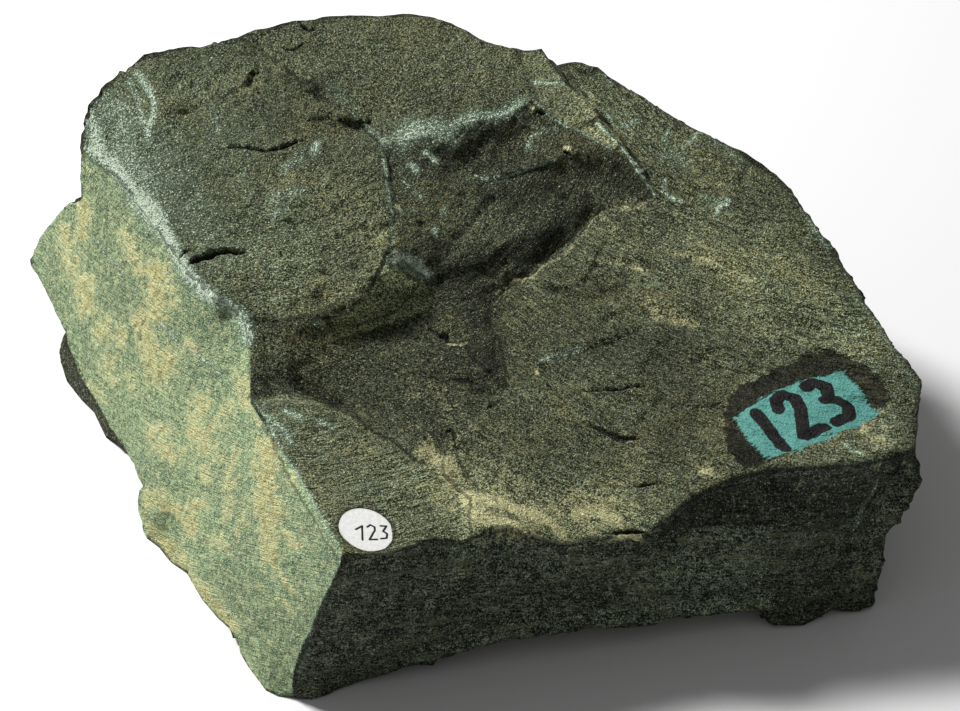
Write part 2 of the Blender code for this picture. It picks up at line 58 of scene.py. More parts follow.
STEP = 0.143
GRID_COLUMNS, GRID_ROWS = 960, 711
EYE_DISTANCE = 520.0
EYE_RISE = radians(40.0)
BLOCK_SHIFT = (3.621, -2.949, 0.0)

ACROSS = np.array((1.0, 0.0, 0.0))
UP_THE_GRID = np.array((0.0, sin(EYE_RISE), cos(EYE_RISE)))
LINE_OF_SIGHT = np.array((0.0, cos(EYE_RISE), -sin(EYE_RISE)))
SIGHTED_MIDDLE = np.array((0.0, 0.0, 20.0)) + np.array(BLOCK_SHIFT)
EYE = SIGHTED_MIDDLE - EYE_DISTANCE * LINE_OF_SIGHT


def grid_places(places):
    """Columns and rows of places given in millimetres."""
    offset = places - EYE
    depth = offset @ LINE_OF_SIGHT
    across = offset @ ACROSS / depth * EYE_DISTANCE / STEP
    up = offset @ UP_THE_GRID / depth * EYE_DISTANCE / STEP
    return np.stack([GRID_COLUMNS / 2 + across, GRID_ROWS / 2 - up], axis=1)


def flat_axes(normal, turn=0.0):
    """Across and up on a flat place with that normal, turned from the right, and the normal itself."""
    normal = Vector(normal).normalized()
    across = (Vector((1.0, 0.0, 0.0)) - normal * normal.x).normalized()
    up = normal.cross(across)
    return across * cos(turn) + up * sin(turn), up * cos(turn) - across * sin(turn), normal


def on_plane(place, middle, axes):
    """Where the line of sight at a (column, row) place meets a plane, in the plane's own flat places."""
    across, up = (place[0] - GRID_COLUMNS / 2) * STEP, (GRID_ROWS / 2 - place[1]) * STEP
    sight = EYE_DISTANCE * LINE_OF_SIGHT + across * ACROSS + up * UP_THE_GRID
    reach = np.dot(np.array(middle) - EYE, axes[2]) / np.dot(sight, axes[2])
    offset = EYE + reach * sight - np.array(middle)
    return float(np.dot(offset, axes[0])), float(np.dot(offset, axes[1]))


# --- what is where on the block, in (column, row) places ------------------------------------------

JOINT_FACE = [
    (82, 152), (120, 182), (157, 226), (187, 275), (215, 300), (241, 312), (249, 345), (251, 400),
    (271, 437), (297, 472), (320, 512), (343, 553), (327, 590), (307, 636), (292, 680), (292, 705),
    (266, 700), (230, 660), (180, 600), (130, 560), (120, 500), (127, 449), (107, 424), (85, 384),
    (70, 348), (62, 325), (40, 305), (20, 262), (70, 195),
]
FRONT_WALL = [
    (343, 553), (387, 555), (404, 550), (430, 539), (452, 538), (460, 546), (473, 538), (487, 528),
    (506, 524), (519, 531), (530, 538), (560, 544), (608, 539), (640, 536), (660, 524), (681, 506),
    (707, 490), (742, 475), (775, 470), (835, 466), (911, 449), (935, 480), (900, 560), (890, 640),
    (760, 640), (600, 660), (420, 690), (292, 715), (292, 680), (307, 636), (327, 590),
]
SCARP = [
    (385, 147), (402, 143), (420, 140), (440, 133), (460, 127), (480, 122), (500, 117), (516, 111),
    (531, 102), (546, 112), (562, 123), (580, 133), (600, 142), (615, 152), (629, 158), (637, 168),
    (644, 183), (653, 196), (636, 203), (617, 208), (600, 213), (580, 235), (560, 249), (540, 269),
    (528, 277), (512, 284), (500, 294), (490, 308), (490, 324), (498, 342), (503, 362), (507, 389),
    (489, 377), (476, 360), (466, 346), (448, 342), (429, 330), (428, 312), (432, 297), (426, 282),
    (416, 270), (402, 264), (386, 267), (389, 240), (391, 215), (391, 190), (388, 165),
]
BASIN = [
    (246, 322), (275, 325), (311, 315), (326, 318), (340, 340), (405, 320), (428, 312), (429, 330),
    (448, 342), (466, 346), (489, 377), (507, 389), (480, 418), (450, 432), (440, 478), (416, 463),
    (393, 443), (362, 426), (347, 417), (330, 396), (298, 392), (252, 404), (249, 345),
]
PLATEAU = [
    (244, 36), (285, 67), (306, 88), (353, 99), (385, 147), (440, 133), (500, 117), (531, 102),
    (562, 123), (615, 152), (640, 170), (562, 83), (541, 45), (400, 5),
]
UPPER_SLAB = [
    (80, 60), (240, 30), (300, 80), (355, 120), (384, 150), (392, 240), (370, 290), (300, 320),
    (245, 320), (190, 275), (120, 180), (80, 150),
]
LONG_SLOPE = [
    (562, 66), (700, 120), (800, 190), (930, 380), (905, 470), (740, 480), (660, 530), (540, 545),
    (460, 470), (440, 400), (500, 300), (600, 205), (650, 190), (600, 120),
]
LABEL_SLAB = [(250, 395), (340, 400), (400, 440), (470, 500), (470, 550), (340, 560), (290, 480)]

BASIN_BANK = [
    (322, 322), (345, 312), (362, 300), (375, 284), (384, 266), (396, 257), (412, 264), (428, 281),
    (434, 300), (425, 313), (400, 323), (372, 331), (345, 340), (328, 336),
]
PALE_STRIP = [
    (520, 48), (541, 52), (562, 80), (597, 122), (615, 140), (632, 159), (612, 149), (585, 136),
    (560, 122), (533, 102), (530, 80), (518, 62),
]
LUMP = [(50, 320), (66, 330), (86, 384), (106, 424), (130, 455), (90, 460), (40, 380)]
SMOOTH_HOLLOW = [
    (658, 527), (681, 506), (707, 490), (742, 475), (775, 470), (835, 466), (905, 452), (893, 480),
    (865, 508), (825, 530), (772, 527), (732, 525), (690, 527),
]

# Painted light and shade on each face, with some of the rock's own tone, as a factor on its colour; and how
# strongly its grain shows.
FACE_TONE_AND_PAINTED_LIGHT = [
    (SCARP, 0.60), (BASIN, 0.62), (PLATEAU, 0.92), (LABEL_SLAB, 1.10), (SMOOTH_HOLLOW, 0.40),
    (BASIN_BANK, 3.0), (PALE_STRIP, 1.25),
]
FACE_COARSENESS = [
    (SCARP, 0.65), (BASIN, 0.8), (PLATEAU, 0.65), (LABEL_SLAB, 0.7), (UPPER_SLAB, 0.95),
    (SMOOTH_HOLLOW, 0.5), (PALE_STRIP, 0.5), (LUMP, 0.4),
]

# Painted light and shade on the faces, with some of the rock's own tone: (points, reach in steps, change).
TONE_AND_PAINTED_LIGHT_SPOTS = [
    ([(560, 330), (620, 345)], 40, -0.28),
    ([(470, 300), (500, 350)], 26, -0.35),
    ([(560, 450), (600, 455)], 30, -0.15),
    ([(672, 350), (690, 395), (670, 435)], 26, -0.42),
    ([(760, 300), (850, 350)], 50, 0.38),
    ([(700, 230), (780, 290)], 36, 0.22),
    ([(640, 250), (690, 270)], 30, 0.18),
    ([(240, 275), (330, 280)], 22, 0.40),
    ([(260, 255), (300, 262)], 16, 0.45),
    ([(240, 225), (330, 235), (380, 225)], 24, 0.25),
    ([(300, 210), (370, 230)], 35, 0.10),
    ([(390, 240), (385, 270), (350, 300)], 15, 0.75),
    ([(330, 460), (400, 500)], 40, 0.10),
    ([(160, 90), (230, 78), (290, 70)], 24, 0.35),
    ([(185, 195), (225, 205)], 24, -0.28),
    ([(395, 275), (418, 290)], 12, 0.60),
    ([(420, 200), (450, 235), (480, 225)], 24, 0.35),
    ([(490, 165), (530, 165), (555, 190)], 20, -0.30),
    ([(520, 255), (550, 258), (575, 232)], 15, -0.35),
    ([(485, 320), (512, 300)], 14, -0.30),
    ([(265, 300), (300, 305)], 12, 0.50),
    ([(262, 350), (290, 352)], 18, 0.35),
    ([(770, 230), (805, 270), (845, 335)], 22, 0.35),
    ([(420, 365), (490, 360)], 26, -0.25),
    ([(340, 405), (400, 405)], 14, -0.30),
    ([(260, 345), (300, 345)], 22, 0.35),
    ([(420, 480), (520, 500), (620, 500)], 24, 0.50),
    ([(465, 535), (560, 525), (650, 522)], 14, 0.70),
    ([(840, 345), (880, 400)], 14, 0.30),
    ([(840, 470), (740, 475)], 5, 0.30),
    ([(590, 95), (655, 135)], 18, 0.40),
    ([(455, 45), (500, 70)], 18, 0.20),
    ([(340, 70), (400, 100), (470, 100)], 26, -0.14),
    ([(450, 560), (600, 560)], 16, 0.30),
    ([(95, 230), (120, 300)], 60, -0.25),
    ([(230, 600), (290, 640)], 40, -0.15),
    ([(580, 100), (610, 140)], 14, 0.30),
    ([(640, 120), (730, 170)], 25, 0.15),
    ([(860, 340), (880, 440)], 18, 0.25),
    ([(560, 255), (600, 230)], 14, 0.15),
    ([(300, 50), (420, 30)], 20, -0.10),
    ([(400, 95), (500, 70)], 30, 0.08),
    ([(600, 617), (640, 611), (700, 604), (765, 599)], 7, 1.4),
    ([(640, 588), (700, 578), (760, 570)], 18, 0.70),
    ([(420, 660), (500, 632), (580, 615)], 9, 0.7),
    ([(660, 555), (740, 550)], 14, 0.4),
    ([(893, 510), (872, 570)], 12, 0.4),
    ([(675, 530), (760, 532)], 7, 0.3),
    ([(300, 180), (360, 190)], 20, 0.15),
    ([(690, 240), (760, 280)], 30, 0.15),
]

# The middles of the rings that the breaks run in, and the length given to a turn of one radian.
RINGS = [
    (PLATEAU, (480, -60)),
    (UPPER_SLAB, (285, 40)),
    (LONG_SLOPE, (1000, -400)),
    (LABEL_SLAB, (240, -300)),
    (SCARP, (330, 60)),
    (BASIN, (568, 0)),
]
RING_TURN = 60.0
# Radians of a rib's wave to the millimetre: the ribs are 1.75 mm apart.
RIB_WAVE = 3.6

# Open cracks: (points, half width, depth, lip).
CRACKS = [
    ([(217, 150), (232, 149), (250, 151), (268, 153), (281, 151), (290, 147), (297, 144),
      (313, 141)], 0.30, 0.7, 0.2),
    ([(188, 266), (198, 260), (208, 256), (226, 250), (247, 253)], 0.60, 0.9, 0.35),
    ([(178, 257), (186, 252), (196, 252)], 0.3, 0.4, 0.1),
    ([(580, 389), (597, 390.5), (613, 391), (632, 390), (651, 389)], 0.17, 0.6, 0.1),
    ([(587, 420), (592, 426), (603, 431), (612, 435), (625, 439), (641, 440)], 0.30, 0.5, 0.2),
    ([(630, 484), (641, 486), (650, 484), (663, 483)], 0.25, 0.5, 0.1),
    ([(301, 27), (309, 31), (317, 32)], 0.30, 0.6, 0.15),
    ([(282, 50), (290, 52), (297, 51), (304, 46)], 0.15, 0.3, 0.1),
    ([(245, 83), (250, 77), (261, 72)], 0.22, 0.2, 0.1),
    ([(427, 329), (434, 331), (440, 335), (447, 337)], 0.30, 0.6, 0.1),
    ([(439, 336), (447, 337), (448, 343)], 0.5, 0.9, 0.1),
    ([(536, 112), (546, 113)], 0.25, 0.6, 0.1),
    ([(564, 150), (568, 154), (572, 155)], 0.4, 0.6, 0.1),
    ([(612, 535), (620, 533), (630, 532), (642, 532), (648, 534)], 0.35, 0.5, 0.1),
    ([(415, 42), (417, 44)], 0.25, 0.5, 0.0),
    ([(280, 250), (282, 257)], 0.2, 0.4, 0.0),
    ([(254, 94), (253, 101)], 0.25, 0.3, 0.0),
    ([(191, 80), (193, 87)], 0.2, 0.3, 0.0),
    ([(452, 378), (468, 381), (480, 386)], 0.45, 0.35, 0.2),
    ([(486, 407), (493, 405), (501, 404)], 0.4, 0.4, 0.1),
    ([(445, 434), (452, 432), (455, 441), (454, 445)], 0.5, 0.5, 0.1),
]

# Low steps, the ground higher on the left of the line as it is drawn: (points, height, reach).
STEPS = [
    ([(580, 389), (613, 391), (651, 389)], 0.25, 4.0),
    ([(587, 421), (603, 431), (621, 438), (641, 440)], 0.5, 4.0),
    ([(525, 282), (533, 287), (545, 290), (560, 291), (578, 287), (590, 275), (600, 255),
      (612, 232)], 0.30, 4.0),
    ([(570, 297), (590, 296), (605, 287), (625, 283)], 0.4, 3.0),
    ([(675, 256), (693, 260), (712, 268), (731, 275), (756, 284), (774, 298)], 0.5, 4.0),
    ([(500, 405), (475, 421), (460, 427), (444, 431), (448, 445), (456, 466)], 0.6, 4.0),
    ([(553, 478), (538, 455), (527, 437), (517, 420)], 0.3, 4.0),
    ([(322, 363), (294, 373), (291, 360), (290, 343)], 0.2, 3.0),
    ([(475, 176), (489, 181), (508, 175), (530, 168), (556, 160)], 0.5, 3.0),
    ([(470, 213), (478, 210), (484, 201), (494, 193)], 0.4, 2.5),
    ([(211, 108), (226, 97), (247, 84), (262, 58)], 0.35, 3.0),
    ([(628, 428), (640, 420), (655, 404), (668, 392)], 0.35, 4.0),
    ([(636, 384), (648, 362), (656, 349)], 0.4, 4.0),
    ([(575, 262), (590, 267), (612, 262), (625, 260), (647, 272)], 0.5, 3.0),
    ([(640, 290), (650, 306), (672, 318), (700, 325)], 0.5, 4.0),
    ([(540, 361), (560, 357), (582, 350), (605, 341), (645, 326)], 0.5, 3.5),
    ([(580, 282), (600, 278), (620, 275), (645, 283)], 0.45, 3.0),
    ([(590, 325), (612, 314), (630, 308), (650, 317)], 0.45, 3.0),
    ([(597, 220), (617, 232), (642, 240)], 0.45, 3.0),
    ([(650, 345), (672, 342), (702, 357), (735, 372)], 0.5, 4.0),
    ([(690, 362), (715, 355), (742, 352)], 0.4, 3.0),
    ([(190, 55), (215, 62), (250, 68)], 0.3, 3.0),
    ([(160, 118), (178, 112), (205, 103)], 0.5, 4.0),
    ([(300, 300), (340, 290), (380, 278), (420, 262)], 0.4, 3.0),
    ([(740, 322), (770, 318), (800, 322), (830, 330)], 0.4, 4.0),
    ([(660, 205), (700, 220), (740, 228), (780, 250)], 0.4, 4.0),
    ([(685, 147), (705, 160), (720, 172), (738, 186)], 0.6, 3.5),
    ([(695, 180), (710, 195), (730, 207), (775, 222)], 0.4, 4.0),
    ([(255, 40), (268, 52), (287, 64), (301, 78), (314, 92)], 0.5, 3.0),
    ([(300, 89), (318, 92), (334, 95), (350, 98)], 0.9, 2.5),
    ([(292, 112), (305, 119), (322, 118), (340, 117), (358, 126)], 0.45, 2.2),
    ([(575, 130), (600, 118), (622, 126), (650, 130)], 0.35, 3.0),
    ([(600, 405), (640, 400), (690, 410), (730, 402)], 0.35, 4.0),
    ([(520, 400), (560, 410), (575, 425)], 0.35, 4.0),
    ([(300, 440), (350, 448), (410, 470)], 0.2, 4.0),
    ([(200, 180), (240, 172), (290, 175)], 0.3, 4.0),
    ([(210, 225), (250, 215), (300, 222), (350, 205)], 0.3, 4.0),
    ([(662, 527), (690, 526), (732, 524), (772, 526)], 0.5, 3.0),
]

# Corners of the plain form that are worn round: (points, reach in steps, share).
WORN = [
    ([(371, 142), (357, 137), (344, 137), (330, 138), (312, 137)], 8, 1.0),
    ([(285, 121), (296, 113), (303, 124), (309, 128)], 9, 1.0),
    ([(512, 181), (529, 179), (545, 178), (556, 175), (570, 174), (590, 178), (604, 187),
      (622, 191)], 9, 1.0),
    ([(501, 176), (512, 174), (524, 172)], 9, 1.0),
    ([(425, 300), (400, 318), (376, 327), (347, 340), (326, 355), (320, 364), (295, 373),
      (270, 386)], 10, 1.0),
    ([(410, 270), (430, 285)], 10, 1.0),
    ([(298, 392), (314, 390), (330, 396)], 8, 1.0),
]
WORN_SHARE = 0.45

# Hollows and swellings of the breaks: (points, reach in steps, height).
SWELLS = [
    ([(350, 334), (385, 322), (412, 306)], 8, 0.5),
    ([(300, 385), (318, 391), (340, 402)], 9, -0.8),
    ([(560, 275), (548, 282)], 14, 0.5),
    ([(610, 282), (640, 288)], 12, -0.6),
    ([(455, 165), (520, 150)], 14, -0.4),
    ([(590, 170), (618, 172)], 10, -0.4),
    ([(480, 190), (540, 178)], 9, 0.4),
    ([(700, 508), (750, 506)], 14, -0.5),
    ([(560, 330), (620, 350)], 22, -0.5),
    ([(700, 300), (760, 320)], 20, 0.4),
    ([(560, 430), (620, 455)], 24, -0.4),
    ([(280, 165), (330, 160)], 16, -0.3),
    ([(230, 110), (255, 130)], 16, -0.3),
]

# Pale crushed rock: (points, reach in steps, strength).
BRUISES = [
    ([(88, 116), (94, 132), (100, 146)], 11, 0.85),
    ([(92, 148), (108, 160), (124, 176), (142, 198)], 9, 1.0),
    ([(140, 200), (152, 210), (158, 222)], 13, 1.1),
    ([(160, 222), (172, 245), (187, 272), (198, 286), (212, 298)], 8, 1.05),
    ([(212, 299), (228, 307), (243, 318), (247, 340)], 8, 0.85),
    ([(108, 108), (126, 122), (122, 150), (150, 185)], 26, 0.50),
    ([(150, 140), (190, 205), (215, 250)], 40, 0.32),
    ([(200, 100), (240, 160), (270, 240)], 50, 0.20),
    ([(138, 72), (145, 85), (152, 95), (155, 108), (152, 120), (148, 136)], 4, 0.85),
    ([(130, 82), (136, 95), (141, 110), (145, 125)], 4, 0.65),
    ([(150, 140), (160, 170), (165, 190)], 6, 0.4),
    ([(317, 146), (314, 152)], 5, 0.75),
    ([(283, 170), (300, 158)], 8, 0.4),
    ([(243, 172), (244, 174)], 4, 0.55),
    ([(270, 200), (303, 192)], 7, 0.45),
    ([(272, 216), (285, 210)], 6, 0.45),
    ([(212, 104), (217, 118), (217, 134)], 1.3, 0.75),
    ([(384, 143), (386, 145)], 6, 0.8),
    ([(403, 140), (414, 132), (430, 131), (447, 134)], 14, 0.6),
    ([(330, 90), (345, 100), (356, 117)], 8, 0.25),
    ([(355, 116), (368, 130), (380, 140)], 5, 0.4),
    ([(424, 152), (432, 158), (436, 162)], 3, 0.9),
    ([(411, 166), (417, 171)], 4, 0.8),
    ([(404, 180), (409, 188)], 2, 0.6),
    ([(414, 193), (421, 198)], 2.5, 0.5),
    ([(395, 208), (399, 213)], 2.5, 0.45),
    ([(413, 211), (414, 213)], 2.5, 0.6),
    ([(447, 206), (441, 217)], 2.2, 0.6),
    ([(435, 230), (435, 236)], 3, 0.7),
    ([(452, 128), (475, 120), (495, 116), (508, 112), (520, 103)], 8, 0.62),
    ([(382, 158), (386, 172), (388, 192)], 2.0, 0.85),
    ([(388, 192), (391, 215), (391, 245)], 1.8, 0.6),
    ([(391, 245), (382, 272), (360, 303)], 1.8, 0.5),
    ([(360, 303), (330, 320), (290, 325)], 1.8, 0.4),
    ([(397, 260), (408, 264), (424, 274)], 8, 1.1),
    ([(403, 312), (408, 308), (417, 303)], 2.5, 0.5),
    ([(318, 325), (324, 330)], 4, 0.35),
    ([(527, 147), (529, 144)], 3, 0.8),
    ([(530, 137), (545, 131), (556, 127)], 2.5, 0.5),
    ([(515, 121), (525, 125), (534, 125)], 1.1, 0.5),
    ([(538, 127), (556, 128)], 1.2, 0.5),
    ([(475, 176), (487, 181), (508, 176), (530, 168), (556, 160)], 1.6, 0.75),
    ([(471, 213), (481, 208), (486, 200), (492, 194)], 1.3, 0.45),
    ([(532, 82), (545, 84), (562, 84)], 1.8, 0.8),
    ([(533, 85), (533, 99)], 1.3, 0.4),
    ([(533, 102), (545, 112), (562, 123), (585, 135), (600, 143), (612, 150)], 1.8, 0.7),
    ([(595, 122), (610, 137), (625, 152), (635, 167), (645, 182), (654, 195)], 1.8, 0.85),
    ([(605, 78), (612, 85)], 2, 0.7),
    ([(604, 115), (608, 119), (614, 120)], 2.6, 0.8),
    ([(622, 125), (627, 129), (634, 122)], 2.2, 0.85),
    ([(668, 131), (666, 136), (663, 142)], 1.8, 0.8),
    ([(701, 132), (692, 142), (685, 148)], 2.0, 0.85),
    ([(665, 152), (685, 160)], 10, 0.38),
    ([(660, 160), (661, 162)], 2.5, 0.6),
    ([(680, 160), (684, 168)], 2.2, 0.6),
    ([(712, 138), (738, 165)], 11, 0.3),
    ([(664, 183), (664, 193), (672, 198), (682, 203)], 2.0, 1.0),
    ([(717, 213), (721, 207), (728, 205)], 3.2, 0.95),
    ([(700, 198), (716, 204)], 6, 0.35),
    ([(808, 220), (818, 235), (828, 248)], 3.5, 0.5),
    ([(540, 361), (560, 357), (582, 350)], 1.7, 0.75),
    ([(268, 418), (280, 428), (290, 442)], 5, 0.6),
    ([(285, 413), (302, 421)], 4, 0.6),
    ([(320, 425), (334, 430)], 4, 0.45),
    ([(252, 400), (268, 425), (282, 450), (298, 475), (318, 510), (338, 545)], 2.0, 0.6),
    ([(343, 556), (334, 575), (320, 605), (308, 640), (296, 678)], 2.2, 0.45),
    ([(844, 446), (852, 452), (862, 456)], 2.2, 0.6),
    ([(815, 466), (850, 464), (882, 459)], 1.5, 0.4),
    ([(852, 296), (872, 318), (886, 342), (897, 362), (917, 388)], 3.0, 0.4),
    ([(640, 530), (660, 522), (682, 506)], 1.5, 0.3),
    ([(390, 552), (410, 546), (432, 538)], 1.5, 0.25),
    ([(662, 528), (690, 527), (732, 525), (772, 527)], 1.3, 0.45),
    ([(600, 622), (640, 612), (700, 603), (765, 598)], 1.2, 0.45),
    ([(877, 480), (868, 500), (855, 515), (850, 540)], 1.3, 0.6),
    ([(500, 640), (516, 637), (524, 628), (532, 620)], 1.0, 0.6),
    ([(245, 80), (226, 96), (212, 107)], 3.0, 0.25),
    ([(196, 66), (214, 57)], 4.0, 0.25),
    ([(160, 320), (175, 340), (195, 352), (220, 375), (245, 398)], 1.4, 0.8),
    ([(92, 237), (110, 258), (128, 278), (137, 295)], 1.3, 0.6),
]

# Thin rims that the skin has to be fine enough for.
RIMS = [
    [(382, 158), (388, 192), (391, 245), (382, 272), (360, 303)],
    [(475, 176), (487, 181), (508, 176), (556, 160)],
    [(533, 102), (562, 123), (600, 143), (612, 150)],
    [(595, 122), (625, 152), (654, 195)],
    [(540, 361), (582, 350)],
    [(525, 282), (560, 291), (590, 275), (612, 232)],
    [(675, 256), (712, 268), (756, 284), (774, 298)],
    [(640, 290), (672, 318), (700, 325)],
    [(587, 421), (621, 438), (641, 440)],
    [(255, 40), (287, 64), (314, 92), (350, 98)],
    [(292, 112), (322, 118), (358, 126)],
    [(662, 527), (732, 524), (772, 526)],
    [(580, 389), (613, 391), (651, 389)],
]
RIM_REACH = 3.2

# The joint's own facets face the eye by 0.22 or more. One sliver of the far side, which folds over the top of
# the joint, faces it by 0.10 and isn't part of the joint.
JOINT_FACING = 0.15

# Ochre dirt caked on the joint face.
OCHRE = [
    ([(84, 205), (84, 222), (80, 236)], 6, 0.95),
    ([(66, 232), (68, 250), (73, 272)], 8, 0.75),
    ([(124, 232), (132, 250), (142, 272)], 7, 0.7),
    ([(157, 268), (158, 290), (156, 312)], 10, 1.0),
    ([(172, 290), (176, 305)], 5, 0.7),
    ([(84, 280), (86, 308)], 8, 0.9),
    ([(104, 322), (102, 334)], 8, 0.85),
    ([(122, 328), (120, 345)], 5, 0.7),
    ([(142, 320), (150, 345), (155, 370)], 11, 0.85),
    ([(168, 358), (160, 374)], 10, 0.95),
    ([(188, 346), (194, 350)], 6, 0.85),
    ([(108, 360), (112, 378)], 8, 0.75),
    ([(130, 375), (134, 388)], 6, 0.6),
    ([(92, 386), (100, 400)], 6, 0.6),
    ([(242, 380), (246, 402)], 8, 0.85),
    ([(232, 405), (215, 425)], 8, 0.6),
    ([(200, 405), (196, 425)], 10, 0.75),
    ([(256, 412), (262, 422)], 4, 0.7),
    ([(168, 428), (150, 432)], 6, 0.75),
    ([(160, 446), (176, 455)], 8, 0.85),
    ([(196, 432), (205, 445)], 11, 0.85),
    ([(200, 470), (206, 480)], 6, 0.6),
    ([(236, 448), (230, 470), (228, 500), (226, 520)], 4, 0.75),
    ([(262, 442), (258, 470)], 6, 0.8),
    ([(272, 446), (264, 480), (270, 500), (276, 515)], 9, 0.95),
    ([(262, 500), (268, 530), (270, 555)], 8, 0.95),
    ([(284, 534), (296, 546)], 5, 0.8),
    ([(270, 558), (280, 575), (294, 592)], 3, 0.85),
    ([(150, 498), (164, 500)], 8, 0.8),
    ([(172, 508), (185, 515), (198, 505)], 8, 0.75),
    ([(190, 520), (192, 532)], 8, 0.95),
    ([(145, 528), (165, 545), (182, 565)], 8, 0.95),
    ([(186, 572), (205, 592), (222, 612), (234, 628)], 5, 0.95),
    ([(240, 655), (250, 675), (262, 692)], 4, 0.85),
    ([(250, 505), (240, 525)], 7, 0.5),
    ([(215, 540), (226, 545)], 7, 0.6),
    ([(282, 600), (290, 612)], 4, 0.5),
    ([(296, 472), (292, 484)], 4, 0.85),
    ([(210, 452), (220, 458)], 12, 0.45),
]

# Yellow-brown dust on the breaks.
DUST = [
    ([(434, 458), (446, 466), (456, 480)], 9, 0.7),
    ([(466, 500), (480, 500), (500, 505)], 9, 1.05),
    ([(500, 506), (530, 513), (552, 524), (562, 533)], 7, 1.0),
    ([(470, 515), (500, 522), (530, 528)], 12, 0.7),
    ([(575, 512), (600, 512), (618, 520)], 9, 0.9),
    ([(425, 452), (440, 465), (452, 485)], 14, 0.5),
    ([(560, 505), (590, 520), (625, 500)], 20, 0.35),
    ([(615, 538), (628, 537), (642, 537)], 2.2, 0.9),
    ([(700, 474), (710, 473)], 4, 0.7),
    ([(448, 345), (458, 345), (467, 345)], 1.6, 0.7),
    ([(536, 366), (537, 374)], 1.8, 0.8),
    ([(648, 307), (665, 318), (692, 325)], 7, 0.5),
    ([(590, 267), (612, 262), (647, 272)], 3, 0.5),
    ([(495, 296), (512, 282), (535, 278), (540, 270), (560, 263)], 2.0, 0.6),
    ([(560, 263), (580, 242), (600, 215), (606, 209)], 1.6, 0.55),
    ([(606, 212), (625, 208), (645, 205)], 6, 0.45),
    ([(600, 215), (617, 232)], 4, 0.4),
    ([(660, 200), (672, 212), (690, 222)], 4, 0.3),
    ([(675, 255), (705, 262), (731, 274), (756, 284)], 3, 0.55),
    ([(700, 250), (712, 255)], 8, 0.4),
    ([(531, 106), (533, 108)], 2.5, 1.0),
    ([(565, 148), (569, 150)], 2.6, 0.85),
    ([(718, 187), (725, 183)], 3.5, 0.6),
    ([(395, 207), (397, 209)], 2, 0.6),
    ([(585, 130), (600, 138), (612, 146)], 5, 0.4),
    ([(335, 320), (330, 345), (323, 364)], 4, 0.3),
    ([(340, 330), (380, 318), (412, 312)], 6, 0.25),
    ([(262, 62), (280, 70)], 6, 0.3),
    ([(225, 95), (245, 88)], 7, 0.3),
    ([(455, 450), (480, 470), (520, 485)], 16, 0.30),
    ([(460, 500), (540, 510), (620, 510)], 26, 0.40),
    ([(415, 390), (440, 400), (450, 415)], 14, 0.2),
    ([(760, 320), (820, 345)], 16, 0.22),
    ([(860, 420), (880, 440)], 12, 0.4),
    ([(700, 470), (720, 478)], 10, 0.3),
    ([(670, 480), (640, 505)], 10, 0.25),
    ([(500, 285), (510, 300)], 3, 0.3),
    ([(430, 439), (415, 425), (398, 436)], 2.0, 0.3),
]

# Painted shade in hollows and slots, under lips and on faces turned from the light, with some fresh breaks
# and stains that are darker.
SHADE_AND_STAIN = [
    ([(300, 385), (320, 392), (338, 400)], 9, 1.0),
    ([(338, 400), (352, 412), (366, 428)], 4, 0.8),
    ([(255, 60), (262, 50), (270, 57)], 3, 0.3),
    ([(285, 67), (297, 76), (303, 85), (320, 96)], 3.5, 0.75),
    ([(310, 92), (335, 93)], 3.5, 0.6),
    ([(311, 124), (330, 121), (352, 126), (364, 134)], 3.0, 0.5),
    ([(470, 130), (520, 125)], 14, 0.45),
    ([(580, 175), (610, 165), (635, 185)], 18, 0.75),
    ([(440, 276), (470, 266), (500, 256), (535, 242), (562, 222), (585, 200)], 12, 0.70),
    ([(400, 165), (440, 165), (500, 160)], 16, 0.25),
    ([(520, 200), (560, 190)], 24, 0.5),
    ([(402, 295), (425, 296)], 9, 0.65),
    ([(475, 345), (490, 360), (505, 385)], 9, 0.5),
    ([(445, 378), (470, 383), (485, 388)], 5, 0.5),
    ([(590, 288), (620, 290)], 9, 0.6),
    ([(545, 290), (575, 295)], 5, 0.6),
    ([(445, 434), (453, 440)], 4, 0.7),
    ([(285, 378), (300, 384)], 8, 0.3),
    ([(660, 360), (640, 400), (655, 430)], 14, 0.25),
    ([(536, 112), (546, 113)], 3, 0.8),
    ([(130, 62), (110, 78), (90, 100)], 8, 0.35),
    ([(222, 200), (195, 225)], 14, 0.3),
    ([(640, 215), (650, 200), (630, 205)], 5, 0.3),
    ([(700, 500), (720, 510)], 14, 0.5),
    ([(73, 226), (74, 228)], 3, 0.6),
    ([(94, 300), (95, 303)], 2, 0.7),
    ([(104, 330), (106, 333)], 4, 0.5),
    ([(245, 630), (238, 650)], 9, 0.3),
    ([(258, 600), (262, 610)], 8, 0.25),
    ([(280, 527), (284, 532)], 4, 0.4),
]

# --- the painted number patch and the paper dot ---------------------------------------------------

PATCH_MIDDLE = (48.5335, -25.0995, 27.9510)
PATCH_NORMAL = (0.036, -0.052, 0.998)
PATCH_TURN = radians(31.3)
PATCH_PAINT = [
    (-9.3, 4.7), (-3.6, 5.9), (4.0, 6.1), (9.6, 5.2), (8.9, -5.0), (1.6, -5.2), (-2.6, -5.5),
    (-10.3, -4.5),
]
